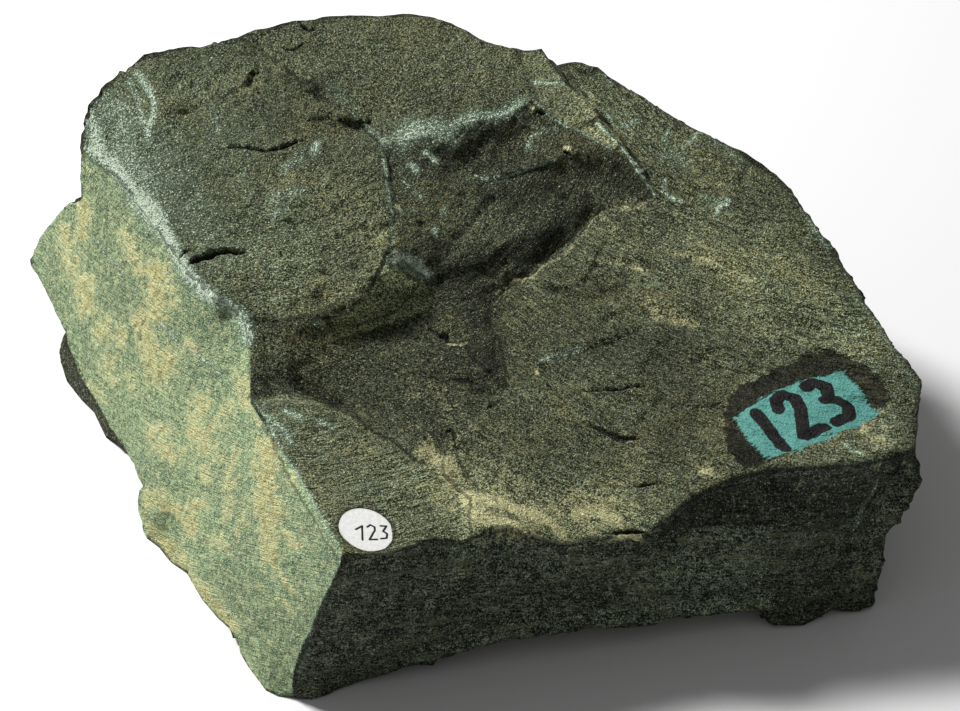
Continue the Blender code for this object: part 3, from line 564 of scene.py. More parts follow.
# The varnish's outline is in (column, row) places. The other outlines and the digits are in millimetres
# from the middle of the patch or of the dot.
PATCH_VARNISH = [
    (723, 406), (733, 388), (775, 368), (806, 354), (829, 348), (849, 354), (876, 369), (892, 389),
    (891, 412), (866, 426), (833, 439), (800, 461), (775, 469), (742, 470), (725, 451), (723, 431),
]
PATCH_DIGITS = [
    [(-5.9, 3.9), (-6.7, -4.0)],
    [(-2.9, 2.9), (-2.2, 4.6), (-0.7, 5.0), (0.3, 3.6), (-0.3, 1.4), (-2.9, -3.1), (0.6, -3.2)],
    [(2.9, 4.7), (4.6, 5.0), (5.4, 3.4), (4.6, 1.5), (3.6, 1.1), (5.2, 0.6), (5.9, -1.2),
      (4.9, -2.9), (2.8, -2.9)],
]
PATCH_PEN = 0.95
PATCH_REACH = 17.0
COVERED_OUTSIDE, COVERED_INSIDE = 14.0, 10.0

DOT_MIDDLE = (-11.5009, -46.7492, 26.3631)
DOT_NORMAL = (0.30, -0.08, 0.951)
DOT_RADIUS = 3.75
GROUND_NORMAL = (0.144, 0.033, 0.989)
DOT_DIGITS = [
    [(-1.45, -0.30), (-0.62, 0.52), (-0.50, -1.95)],
    [(0.10, 0.55), (0.52, 1.02), (1.08, 0.82), (1.16, 0.25), (0.45, -1.62), (1.50, -1.32)],
    [(1.90, 1.22), (2.72, 1.40), (2.28, 0.36), (2.86, 0.05), (2.80, -0.72), (2.02, -1.05)],
]
DOT_PEN = 0.15
DOT_THICKNESS = 0.22
DOT_SIDES = 96
DOT_LIFT = 4.0
# How far the paper's rim follows the bumps under it, as a share. Its middle is one plain face.
DOT_DRAPE = 0.15
# The ground round the dot is made calm, and tilted and raised to meet it.
CALM_REACH, CALM_SINK = 4.6, 0.05
SEAT_REACH, SEAT_RISE = 5.2, 0.15


def soft_step(values, low, high):
    """0 at low and 1 at high, with a smooth rise between them. Low may be the larger, for a fall."""
    share = np.clip((values - low) / (high - low), 0.0, 1.0)
    return share * share * (3.0 - 2.0 * share)


def line_distance(places, points):
    """Distance of each flat place from the line, its side (positive on the left) and its share of the way."""
    best = np.full(len(places), 1e9)
    side = np.zeros(len(places))
    way = np.zeros(len(places))
    points = np.array(points, dtype=float)
    spans = np.linalg.norm(points[1:] - points[:-1], axis=1)
    begun = np.concatenate([[0.0], np.cumsum(spans)])
    for a, b, start, span in zip(points, points[1:], begun, spans):
        along = b - a
        offset = places - a
        share = np.clip(offset @ along / (along @ along), 0.0, 1.0)
        distance = np.linalg.norm(offset - share[:, None] * along, axis=1)
        nearer = distance < best
        turned = along[1] * offset[:, 0] - along[0] * offset[:, 1]
        side = np.where(nearer, np.sign(turned), side)
        way = np.where(nearer, (start + share * span) / begun[-1], way)
        best = np.where(nearer, distance, best)
    return best, side, way


def inside(places, corners):
    """Whether each flat place is inside the closed outline."""
    found = np.zeros(len(places), dtype=bool)
    x, y = places[:, 0], places[:, 1]
    for (ax, ay), (bx, by) in zip(corners, corners[1:] + corners[:1]):
        if ay == by:
            continue
        crossed = ((ay > y) != (by > y)) & (x < (bx - ax) * (y - ay) / (by - ay) + ax)
        found ^= crossed
    return found


def area_share(places, corners, softness):
    """1 inside the outline, 0 outside it, with a soft edge that many steps wide."""
    distance, _, _ = line_distance(places, corners + corners[:1])
    signed = np.where(inside(places, corners), distance, -distance)
    return soft_step(signed, -softness / 2, softness / 2)


def smeared(on_grid, strokes):
    """The strongest of the strokes at each place, fading away from its line."""
    strength = np.zeros(len(on_grid))
    for points, reach, most in strokes:
        distance, _, _ = line_distance(on_grid, points)
        strength = np.maximum(strength, most * np.exp(-((distance / reach) ** 2)))
    return strength


def grain(places, size, octaves=3, stretch=(1.0, 1.0, 1.0), roughness=0.9):
    """Fractal noise at the places, about -0.7 to 0.7, with features about as large as size."""
    scaled = places / (size * np.array(stretch))
    return np.array([noise.fractal(p, roughness, 2.0, octaves) for p in map(Vector, scaled)])


# --- the stone's mesh -----------------------------------------------------------------------------

RIDGE_ANGLE = radians(21.0)
FINE_SPACING = 0.20
RIM_SPACING = 0.30
SIGHT_SPACING = 0.54
HIDDEN_SPACING = 0.95
BED_SPACING = 3.0
SPLITTING_TURNS = 5
FIRST_SPACING = 1.1
LONG_EDGE = 1.45
CRACK_MARGIN = 0.35
BED_TOP, BED_FACING = 0.3, -0.7
BARELY_SEEN = -0.05
EASING, RIDGE_EASING = 0.55, 0.4
HELD_HEIGHT = 0.6
# Regions of the block's faces.
JOINT, FRONT = 1, 2


def mesh_places(stone):
    return np.array([v.co[:] for v in stone.verts]) / MM


def mesh_normals(stone):
    stone.normal_update()
    return np.array([v.normal[:] for v in stone.verts])


def faces_eye(places, normals):
    to_eye = EYE - places
    return np.sum(normals * to_eye, axis=1) / np.linalg.norm(to_eye, axis=1)


def wanted_spacing(places, normals):
    """The length of edge that the skin needs at each place."""
    seen = faces_eye(places, normals)
    spacing = np.where(seen > BARELY_SEEN, SIGHT_SPACING, HIDDEN_SPACING)
    spacing = np.where((places[:, 2] < BED_TOP) & (normals[:, 2] < BED_FACING), BED_SPACING, spacing)
    on_grid = grid_places(places)
    for points, width, _, _ in CRACKS:
        distance, _, _ = line_distance(on_grid, points)
        near = (distance * STEP < width + CRACK_MARGIN) & (seen > 0.0)
        spacing = np.where(near, FINE_SPACING, spacing)
    for points in RIMS:
        distance, _, _ = line_distance(on_grid, points)
        near = (distance < RIM_REACH) & (seen > 0.0)
        spacing = np.where(near, np.minimum(spacing, RIM_SPACING), spacing)
    return spacing


def split_long_edges(stone, coarsest):
    """Splits every edge that is much longer than the skin needs there, once."""
    stone.verts.index_update()
    places, normals = mesh_places(stone), mesh_normals(stone)
    ends = pair_ends(stone)
    lengths = np.linalg.norm(places[ends[:, 0]] - places[ends[:, 1]], axis=1)
    spacing = np.maximum(wanted_spacing(places, normals), coarsest)
    allowed = LONG_EDGE * np.minimum(spacing[ends[:, 0]], spacing[ends[:, 1]])
    chosen = [edge for edge, is_long in zip(stone.edges, lengths > allowed) if is_long]
    if not chosen:
        return False
    bmesh.ops.subdivide_edges(stone, edges=chosen, cuts=1, use_single_edge=True)
    uneven = [f for f in stone.faces if len(f.verts) > 3]
    bmesh.ops.triangulate(stone, faces=uneven, quad_method="SHORT_EDGE", ngon_method="BEAUTY")
    return True


def split_down_to(stone, coarsest):
    for _ in range(SPLITTING_TURNS):
        if not split_long_edges(stone, coarsest):
            break


def ridge_ends(stone):
    """The pairs of vertices that the block's ridges run between."""
    return np.array([(e.verts[0].index, e.verts[1].index) for e in stone.edges if not e.smooth])


def pair_ends(stone):
    return np.array([(e.verts[0].index, e.verts[1].index) for e in stone.edges])


def neighbour_mean(values, ends):
    """The mean of each vertex's neighbours over the given edges, and how many there are."""
    count = len(values)
    both = np.concatenate([ends, ends[:, ::-1]])
    number = np.bincount(both[:, 0], minlength=count)
    given = values[both[:, 1]].T
    total = np.stack([np.bincount(both[:, 0], weights=row, minlength=count) for row in given], axis=1)
    return total / np.maximum(number, 1)[:, None], number


def eased(stone, passes, along_ridges):
    """Rounds the flats off between the ridges. The ridges only lose their kinks."""
    stone.verts.index_update()
    places = mesh_places(stone)
    ends, ridges = pair_ends(stone), ridge_ends(stone)
    _, ridge_count = neighbour_mean(places, ridges)
    on_ridge = ridge_count > 0
    on_bed = places[:, 2] < 0.02
    for turn in range(passes):
        mean, _ = neighbour_mean(places, ends)
        moved = np.where(on_ridge[:, None], places, places + EASING * (mean - places))
        if turn < along_ridges:
            ridge_mean, _ = neighbour_mean(places, ridges)
            runs_through = (ridge_count == 2)[:, None]
            moved = np.where(runs_through, places + RIDGE_EASING * (ridge_mean - places), moved)
        places = np.where(on_bed[:, None], places, moved)
    put_places(stone, places)


def worn_round(stone, passes):
    """Rounds the worn corners of the plain form well off."""
    stone.verts.index_update()
    places, normals = mesh_places(stone), mesh_normals(stone)
    ends = pair_ends(stone)
    share = EASING * smeared(grid_places(places), WORN) * (faces_eye(places, normals) > 0.0)
    for _ in range(passes):
        mean, _ = neighbour_mean(places, ends)
        places = places + share[:, None] * (mean - places)
    put_places(stone, places)


def put_places(stone, places):
    for vertex, place in zip(stone.verts, places * MM):
        vertex.co = place


def merged_copy(node):
    stone = bmesh.new()
    stone.from_mesh(node.data)
    bmesh.ops.remove_doubles(stone, verts=stone.verts, dist=0.00001)
    return stone


def mark_regions(stone):
    """Marks the joint face and the front wall, and the ridges between unlike faces."""
    region = stone.faces.layers.int.new("region")
    middles = np.array([f.calc_center_median()[:] for f in stone.faces]) / MM
    normals = np.array([f.normal[:] for f in stone.faces])
    on_grid, facing = grid_places(middles), faces_eye(middles, normals)
    joint = inside(on_grid, JOINT_FACE) & (facing > JOINT_FACING)
    front = inside(on_grid, FRONT_WALL) & (facing > 0.0)
    for face, is_joint, is_front in zip(stone.faces, joint, front):
        face[region] = JOINT if is_joint else FRONT if is_front else 0
    halfway = np.array([((e.verts[0].co + e.verts[1].co) / 2)[:] for e in stone.edges]) / MM
    worn = smeared(grid_places(halfway), WORN) > WORN_SHARE
    for edge, is_worn in zip(stone.edges, worn):
        is_ridge = edge.is_manifold and edge.calc_face_angle() > RIDGE_ANGLE
        edge.smooth = bool(is_worn) or not is_ridge


def region_share(stone, wanted):
    """How much of each vertex's surroundings is the wanted region."""
    region = stone.faces.layers.int["region"]
    share = np.zeros(len(stone.verts))
    for vertex in stone.verts:
        faces = vertex.link_faces
        share[vertex.index] = sum(f[region] == wanted for f in faces) / len(faces)
    return share


def flow_places(places, normals, joint):
    """Along and across the grain of the break at each place, and the height."""
    on_grid = grid_places(places)
    seen = faces_eye(places, normals) > 0.0
    middle = np.tile(np.array(RINGS[0][1], dtype=float), (len(places), 1))
    for corners, ring_middle in RINGS:
        middle[inside(on_grid, corners)] = ring_middle
    broken_across = inside(on_grid, SCARP) | inside(on_grid, BASIN)
    offset = on_grid - middle
    ring = np.linalg.norm(offset, axis=1) * STEP
    turn = np.arctan2(offset[:, 1], offset[:, 0]) * RING_TURN
    steep = (np.abs(normals[:, 2]) < 0.62) | ~seen
    bedding = steep & (joint < 0.5) & ~(broken_across & seen)
    sideways = places[:, 0] * np.abs(normals[:, 1]) + places[:, 1] * np.abs(normals[:, 0])
    along = np.where(bedding, sideways, turn)
    across = np.where(bedding, places[:, 2] + 0.12 * places[:, 0], ring)
    return np.stack([along, across, places[:, 2] * 0.3], axis=1)


def relief(places, normals, flow, joint, coarse):
    """How far the broken skin stands out from, or lies under, the plain form, in millimetres."""
    on_grid = grid_places(places)
    seen = soft_step(faces_eye(places, normals), 0.0, 0.15)
    worn = smeared(on_grid, WORN) * seen
    calm_edge = 0.45 + 0.55 * soft_step(np.abs(faces_eye(places, normals)), 0.04, 0.34)
    rest = (1.0 - joint) * coarse * calm_edge * (1.0 - 0.6 * worn)
    depth = (0.20 - 0.08 * joint) * grain(places, 7.0, 3) + (0.03 + 0.05 * rest) * grain(places + 40, 1.7, 3)

    # hackle and streaks that follow the break
    depth += rest * 0.30 * grain(flow, 1.0, 3, stretch=(9.0, 1.3, 4.0))
    depth += rest * 0.20 * grain(flow + 50, 1.0, 2, stretch=(3.5, 0.9, 2.0))

    # ribs across the ends of the upper slab
    ring = flow[:, 1] + 0.9 * grain(places + 120, 5.0, 2)
    ribbed = area_share(on_grid, UPPER_SLAB, 14.0) * soft_step(flow[:, 1], 17.0, 30.0) * seen * (1.0 - joint)
    depth += 0.07 * ribbed * np.sin(ring * RIB_WAVE)

    # thin flakes gone from the surface, with sharp little edges
    flake = grain(flow + 90, 1.0, 5, stretch=(12.0, 5.0, 6.0))
    depth += rest * 0.26 * soft_step(flake, 0.02, 0.06)
    depth += rest * 0.20 * soft_step(flake, -0.26, -0.22)
    flake = grain(flow + 170, 1.0, 4, stretch=(7.0, 2.6, 5.0))
    depth += rest * 0.17 * soft_step(flake, 0.10, 0.14)
    flake = grain(places + 210, 2.2, 3)
    depth -= rest * 0.10 * soft_step(flake, 0.28, 0.36)

    # bedding laid bare on the steep breaks
    steep = 1.0 - soft_step(np.abs(normals[:, 2]), 0.45, 0.85)
    bed = places + 0.8 * np.stack([grain(places, 14.0, 2)] * 3, axis=1)
    laminae = grain(bed, 1.0, 4, stretch=(16.0, 16.0, 1.1))
    depth += steep * rest * 0.22 * laminae
    ledge = grain(bed + 60, 1.0, 3, stretch=(22.0, 22.0, 3.0))
    depth += steep * rest * 0.26 * soft_step(ledge, 0.0, 0.05)

    # the far sides: broad ledges and scooped flakes, cut into the plain form
    far = soft_step(-faces_eye(places, normals), 0.18, 0.50) * (1.0 - joint) * coarse
    shelf = grain(bed + 260, 1.0, 4, stretch=(26.0, 26.0, 4.5))
    scoop = grain(places + 340, 13.0, 4)
    depth -= far * steep * 0.50 * soft_step(shelf, -0.06, 0.06)
    depth -= far * steep * 0.35 * soft_step(shelf, 0.20, 0.30)
    depth -= far * (0.40 * soft_step(scoop, -0.04, 0.05) + 0.30 * soft_step(scoop, 0.1, 0.6))

    # the joint face: nearly flat, pitted, with lumps of dirt
    ochre = smeared(on_grid, OCHRE)
    depth -= joint * 0.22 * soft_step(grain(places + 15, 1.2, 3), 0.42, 0.55)
    caked = soft_step(ochre + 0.7 * grain(places + 25, 2.2, 4), 0.50, 0.66)
    depth += joint * caked * (0.20 + 0.30 * grain(places + 35, 0.8, 3))

    add_swells_and_steps(depth, on_grid, seen)
    open_share = cut_cracks(depth, places, on_grid, seen)
    return seated(depth, places), open_share


def add_swells_and_steps(depth, on_grid, seen):
    for points, reach, height in SWELLS:
        distance, _, _ = line_distance(on_grid, points)
        depth += seen * height * np.exp(-((distance / reach) ** 2))
    for points, height, reach in STEPS:
        distance, side, way = line_distance(on_grid, points)
        distance = distance * STEP
        share = soft_step(side * distance, -0.12, 0.12) - 0.5
        tapered = soft_step(way, 0.0, 0.15) * soft_step(1.0 - way, 0.0, 0.15)
        depth += 1.3 * seen * height * share * tapered * np.exp(-((distance / reach) ** 2))


def cut_cracks(depth, places, on_grid, seen):
    """Cuts the cracks into the depth and gives back how far inside one each place is, from 0 to 1."""
    open_share = np.zeros(len(places))
    wander = 1.0 + 0.35 * grain(places + 300, 0.8, 2)
    for points, width, crack_depth, lip in CRACKS:
        distance, side, way = line_distance(on_grid, points)
        distance = distance * STEP
        taper = np.sqrt(np.clip(4.0 * way * (1.0 - way), 0.04, 1.0))
        share = 1.0 - soft_step(distance / (width * wander * taper), 0.35, 1.05)
        depth -= seen * crack_depth * share * taper
        depth += seen * lip * (side > 0) * taper * np.exp(-((distance / 1.2) ** 2)) * (1.0 - share)
        open_share = np.maximum(open_share, share * seen)
    return open_share


def seated(depth, places):
    """The depth with calm ground under the dot, tilted and raised to meet it."""
    offset = places - np.array(DOT_MIDDLE)
    from_dot = np.linalg.norm(offset, axis=1)
    calm = np.exp(-((from_dot / CALM_REACH) ** 6))
    tilt = np.array(GROUND_NORMAL) / GROUND_NORMAL[2] - np.array(DOT_NORMAL) / DOT_NORMAL[2]
    seat = (offset[:, :2] @ tilt[:2] + SEAT_RISE) * np.exp(-((from_dot / SEAT_REACH) ** 4))
    return depth * (1.0 - calm) + seat - CALM_SINK * calm


def coarseness(on_grid):
    """How strongly the grain of the break shows at each place."""
    coarse = np.ones(len(on_grid))
    for corners, strength in FACE_COARSENESS:
        coarse *= 1.0 + (strength - 1.0) * area_share(on_grid, corners, 8.0)
    return coarse


def tone_and_painted_light(places, normals, on_grid, seen, joint):
    """The factor on the rock's colour at each place: painted light and shade on the faces, random tone on the
    far sides, and the darker lump.
    """
    shade = np.ones(len(places))
    for corners, tone in FACE_TONE_AND_PAINTED_LIGHT:
        shade *= 1.0 + (tone - 1.0) * area_share(on_grid, corners, 2.5) * seen
    for points, reach, change in TONE_AND_PAINTED_LIGHT_SPOTS:
        distance, _, _ = line_distance(on_grid, points)
        shade *= 1.0 + change * np.exp(-((distance / reach) ** 2)) * seen
    far = soft_step(-faces_eye(places, normals), 0.0, 0.3) * (1.0 - joint)
    shade *= 1.0 + far * 0.55 * grain(places + 420, 16.0, 4)
    return shade * (1.0 - 0.60 * area_share(on_grid, LUMP, 2.5) * (1.0 - joint))


def stone_marks(places, normals, on_grid, joint):
    """The strengths that the finish reads at each place, by name."""
    seen = soft_step(faces_eye(places, normals), -0.05, 0.1)
    from_patch = np.linalg.norm(places - np.array(PATCH_MIDDLE), axis=1)
    from_dot = np.linalg.norm(places - np.array(DOT_MIDDLE), axis=1)
    # A painted shadow ring round the paper dot, with some of its varnish.
    dot_ring_shadow_and_varnish = 0.9 * np.exp(-(((from_dot - DOT_RADIUS - 0.1) / 0.4) ** 2))
    wide_ochre = [(points, 1.3 * reach, most) for points, reach, most in OCHRE]
    return {
        # Painted light and shade, with some of the rock's own tone.
        "shade": tone_and_painted_light(places, normals, on_grid, seen, joint),
        "covered": soft_step(from_patch, COVERED_OUTSIDE, COVERED_INSIDE) * seen,
        "joint": joint,
        "bruise": smeared(on_grid, BRUISES) * seen,
        "ochre": smeared(on_grid, wide_ochre) * seen * joint,
        "dust": smeared(on_grid, DUST) * seen * (1.0 - joint),
        # Painted shade in hollows and slots and the painted shadow ring round the paper dot, with fresh
        # breaks and stains that are darker.
        "shade_and_stain": np.maximum(smeared(on_grid, SHADE_AND_STAIN), dot_ring_shadow_and_varnish) * seen,
    }


def written(name, form):
    """The form as a mesh of that name. The form itself is freed."""
    mesh = bpy.data.meshes.new(name)
    form.to_mesh(mesh)
    form.free()
    return mesh


def stone_mesh(node):
    """The block's own faces, split finely and broken up, with the marks that its finish reads."""
    stone = merged_copy(node)
    mark_regions(stone)
    split_down_to(stone, FIRST_SPACING)
    eased(stone, passes=12, along_ridges=4)
    worn_round(stone, passes=14)
    split_down_to(stone, FINE_SPACING)
    eased(stone, passes=3, along_ridges=1)
    stone.verts.index_update()

    places, normals = mesh_places(stone), mesh_normals(stone)
    on_grid = grid_places(places)
    joint, coarse = region_share(stone, JOINT), coarseness(on_grid)
    flow = flow_places(places, normals, joint)
    depth, crack = relief(places, normals, flow, joint, coarse)
    marks = stone_marks(places, normals, on_grid, joint)
    marks.update(coarse=coarse, front=region_share(stone, FRONT), crack=crack)

    places = places + normals * (depth * soft_step(places[:, 2], 0.0, HELD_HEIGHT))[:, None]
    places[:, 2] = np.maximum(places[:, 2], 0.0)
    put_places(stone, places)
    for part in (*stone.faces, *stone.edges):
        part.smooth = True
    mesh = written("shale_stone", stone)
    for name, values in marks.items():
        layer = mesh.attributes.new(name, "FLOAT", "POINT")
        layer.data.foreach_set("value", values.astype(np.float32))
    layer = mesh.attributes.new("flow", "FLOAT_VECTOR", "POINT")
    layer.data.foreach_set("vector", flow.astype(np.float32).ravel())
    return mesh


def new_piece(name, data):
    piece = bpy.data.objects.new(name, data)
    bpy.context.scene.collection.objects.link(piece)
    return piece


# --- finishes -------------------------------------------------------------------------------------


class Finish:
    """A material under construction: each method adds a node and gives its output back."""

    def __init__(self, name, roughness):
        self.material = bpy.data.materials.new(name)
        self.material.use_nodes = True
        self.tree = self.material.node_tree
        self.shader = self.tree.nodes["Principled BSDF"]
        self.shader.inputs["Roughness"].default_value = roughness
        self.object_places = self.tree.nodes.new("ShaderNodeTexCoord").outputs["Object"]

    def feed(self, socket, value):
        if isinstance(value, bpy.types.NodeSocket):
            self.tree.links.new(value, socket)
        elif isinstance(value, tuple) and socket.type == "RGBA":
            socket.default_value = (*value, 1.0)
        else:
            socket.default_value = value

    def math(self, operation, first, second=0.0, third=0.0, clamp=False):
        node = self.tree.nodes.new("ShaderNodeMath")
        node.operation = operation
        node.use_clamp = clamp
        for socket, value in zip(node.inputs, (first, second, third)):
            self.feed(socket, value)
        return node.outputs[0]

    def plus(self, first, second, clamp=False):
        return self.math("ADD", first, second, clamp=clamp)

    def times(self, first, second, clamp=False):
        return self.math("MULTIPLY", first, second, clamp=clamp)

    def scaled(self, value, factor, offset, clamp=False):
        """The value times the factor, plus the offset."""
        return self.math("MULTIPLY_ADD", value, factor, offset, clamp)

    def vector(self, operation, first, second=(0.0, 0.0, 0.0)):
        node = self.tree.nodes.new("ShaderNodeVectorMath")
        node.operation = operation
        self.feed(node.inputs[0], first)
        self.feed(node.inputs[3 if operation == "SCALE" else 1], second)
        return node.outputs[1 if operation in ("LENGTH", "DOT_PRODUCT") else 0]

    def mark(self, name, output="Fac"):
        node = self.tree.nodes.new("ShaderNodeAttribute")
        node.attribute_name = name
        return node.outputs[output]

    def grain(self, scale, detail=2.0, roughness=0.5, places=None, stretch=None):
        """Fractal noise, about 0.3 to 0.7; scale is features to the metre, or to the unit of the places."""
        places = places or self.object_places
        if stretch:
            places = self.vector("MULTIPLY", places, stretch)
        node = self.tree.nodes.new("ShaderNodeTexNoise")
        self.feed(node.inputs["Vector"], places)
        node.inputs["Scale"].default_value = scale
        node.inputs["Detail"].default_value = detail
        node.inputs["Roughness"].default_value = roughness
        return node.outputs[0]

    def ramp(self, value, low, high):
        node = self.tree.nodes.new("ShaderNodeMapRange")
        node.interpolation_type = "SMOOTHSTEP"
        self.feed(node.inputs["Value"], value)
        node.inputs["From Min"].default_value = low
        node.inputs["From Max"].default_value = high
        return node.outputs["Result"]

    def mix(self, share, first, second, blend="MIX"):
        node = self.tree.nodes.new("ShaderNodeMix")
        node.data_type = "RGBA"
        node.blend_type = blend
        self.feed(node.inputs["Factor"], share)
        self.feed(node.inputs["A"], first)
        self.feed(node.inputs["B"], second)
        return node.outputs["Result"]

    def tinted(self, base, tint):
        return self.mix(1.0, base, tint, "MULTIPLY")

    def laid(self, base, over, value, low, high, most):
        """The second colour laid over the first as the value goes from low to high, covering it by most."""
        return self.mix(self.times(self.ramp(value, low, high), most), base, over)

    def local_places(self, middle, axes):
        """Object places turned into a flat frame of its own, in millimetres."""
        turn = Matrix(axes)
        node = self.tree.nodes.new("ShaderNodeMapping")
        self.feed(node.inputs["Vector"], self.object_places)
        node.inputs["Scale"].default_value = (1.0 / MM, 1.0 / MM, 1.0 / MM)
        node.inputs["Rotation"].default_value = turn.to_euler("XYZ")[:]
        node.inputs["Location"].default_value = (-(turn @ Vector(middle)))[:]
        return node.outputs[0]

    def flat(self, places):
        return self.vector("MULTIPLY", places, (1.0, 1.0, 0.0))

    def stroke_distance(self, places, strokes):
        """Distance in millimetres from the nearest of the pen strokes."""
        nearest = None
        for stroke in strokes:
            for a, b in zip(stroke, stroke[1:]):
                along = (b[0] - a[0], b[1] - a[1], 0.0)
                offset = self.vector("SUBTRACT", places, (a[0], a[1], 0.0))
                share = self.vector("DOT_PRODUCT", offset, along)
                square = along[0] ** 2 + along[1] ** 2
                share = self.times(share, 1.0 / square, clamp=True)
                reach = self.vector("SCALE", along, share)
                apart = self.vector("LENGTH", self.vector("SUBTRACT", offset, reach))
                nearest = apart if nearest is None else self.math("MINIMUM", nearest, apart)
        return nearest

    def outline_depth(self, places, corners):
        """How far inside the outline the flat places are, in millimetres. It bulges and runs clockwise."""
        depth = None
        for a, b in zip(corners, corners[1:] + corners[:1]):
            along = Vector(b) - Vector(a)
            inward = Vector((along.y, -along.x)).normalized()
            beyond = self.vector("DOT_PRODUCT", places, (inward.x, inward.y, 0.0))
            beyond = self.math("SUBTRACT", beyond, inward.dot(Vector(a)))
            depth = beyond if depth is None else self.math("SMOOTH_MIN", depth, beyond, 0.6)
        return depth

    def bump(self, height, distance):
        node = self.tree.nodes.new("ShaderNodeBump")
        self.feed(node.inputs["Height"], height)
        node.inputs["Distance"].default_value = distance
        self.feed(self.shader.inputs["Normal"], node.outputs[0])


SHALE_DARK, SHALE_LIGHT = (0.016, 0.021, 0.007), (0.325, 0.368, 0.232)
# The front wall's colours: a darker fresh break, partly its own colour and partly painted shade.
FRONT_DARK_AND_SHADE, FRONT_LIGHT, FRONT_VEIN = (0.006, 0.011, 0.005), (0.470, 0.550, 0.380), (0.160, 0.180, 0.090)
SHALE_SPECK = (0.55, 0.56, 0.46)
COAT_GREEN, COAT_PALE, COAT_GREY = (0.175, 0.280, 0.140), (0.42, 0.560, 0.300), (0.11, 0.180, 0.110)
COAT_SPECK, COAT_HOLE, OCHRE_HAZE = (0.70, 0.80, 0.48), (0.05, 0.095, 0.060), (0.53, 0.590, 0.320)
OCHRE_LIGHT, OCHRE_DEEP = (0.74, 0.72, 0.37), (0.44, 0.405, 0.165)
BRUISE_WHITE, BRUISE_GREEN = (0.68, 0.80, 0.62), (0.17, 0.260, 0.170)
DUST_LIGHT, DUST_DEEP = (0.78, 0.76, 0.44), (0.46, 0.44, 0.20)
TEAL_PAINT = (0.100, 0.320, 0.275)
BLACK_INK = (0.010, 0.010, 0.010)
VARNISH_STAIN, TEAL_WORN = (0.085, 0.076, 0.062), (0.125, 0.365, 0.315)
TINT_OLIVE, TINT_BLUE, TINT_BROWN = (1.12, 1.00, 0.80), (0.89, 1.00, 1.08), (1.10, 1.00, 0.84)
# Tints for painted shade in hollows and slots, with fresh breaks and stains that are darker, on the rock and
# on the coat; and the painted shade inside open cracks.
SHADE_AND_STAIN_TINT, COAT_SHADE_AND_STAIN, CRACK_SHADE = (0.34, 0.36, 0.27), (0.08, 0.10, 0.08), (0.004, 0.004, 0.003)
PAPER_GREY, PAPER_WHITE, PAPER_EDGE = (0.88, 0.88, 0.85), (0.95, 0.95, 0.92), (0.45, 0.42, 0.34)
DOT_INK = (0.012, 0.012, 0.014)


def painted_number(f, colour, fine):
    """The varnished and painted patch with its pen strokes, over the colour of the bare shale."""
    axes = flat_axes(PATCH_NORMAL, PATCH_TURN)
    local = f.flat(f.local_places(PATCH_MIDDLE, axes))
    varnish_outline = [on_plane(place, PATCH_MIDDLE, axes) for place in PATCH_VARNISH]
    ragged = f.grain(1.0, 3.0, 0.7, places=local, stretch=(0.5, 2.6, 1.0))
    blunt = f.grain(0.9, 2.0, 0.6, places=local)
    varnish_depth = f.plus(f.outline_depth(local, varnish_outline), f.scaled(blunt, 2.4, -1.2))
    varnish = f.ramp(varnish_depth, -0.1, 0.5)
    paint_depth = f.plus(f.outline_depth(local, PATCH_PAINT), f.scaled(ragged, 2.6, -1.3))
    paint = f.ramp(paint_depth, -0.06, 0.10)
    pen = f.plus(f.stroke_distance(local, PATCH_DIGITS), f.scaled(ragged, 0.3, -0.15))
    ink = f.times(f.ramp(pen, PATCH_PEN + 0.06, PATCH_PEN - 0.06), paint)
    stained = f.tinted(colour, VARNISH_STAIN)
    colour = f.mix(f.times(varnish, 0.93), colour, stained)
    teal = f.mix(f.ramp(fine, 0.35, 0.7), TEAL_PAINT, TEAL_WORN)
    colour = f.mix(paint, colour, teal)
    return f.mix(ink, colour, BLACK_INK)


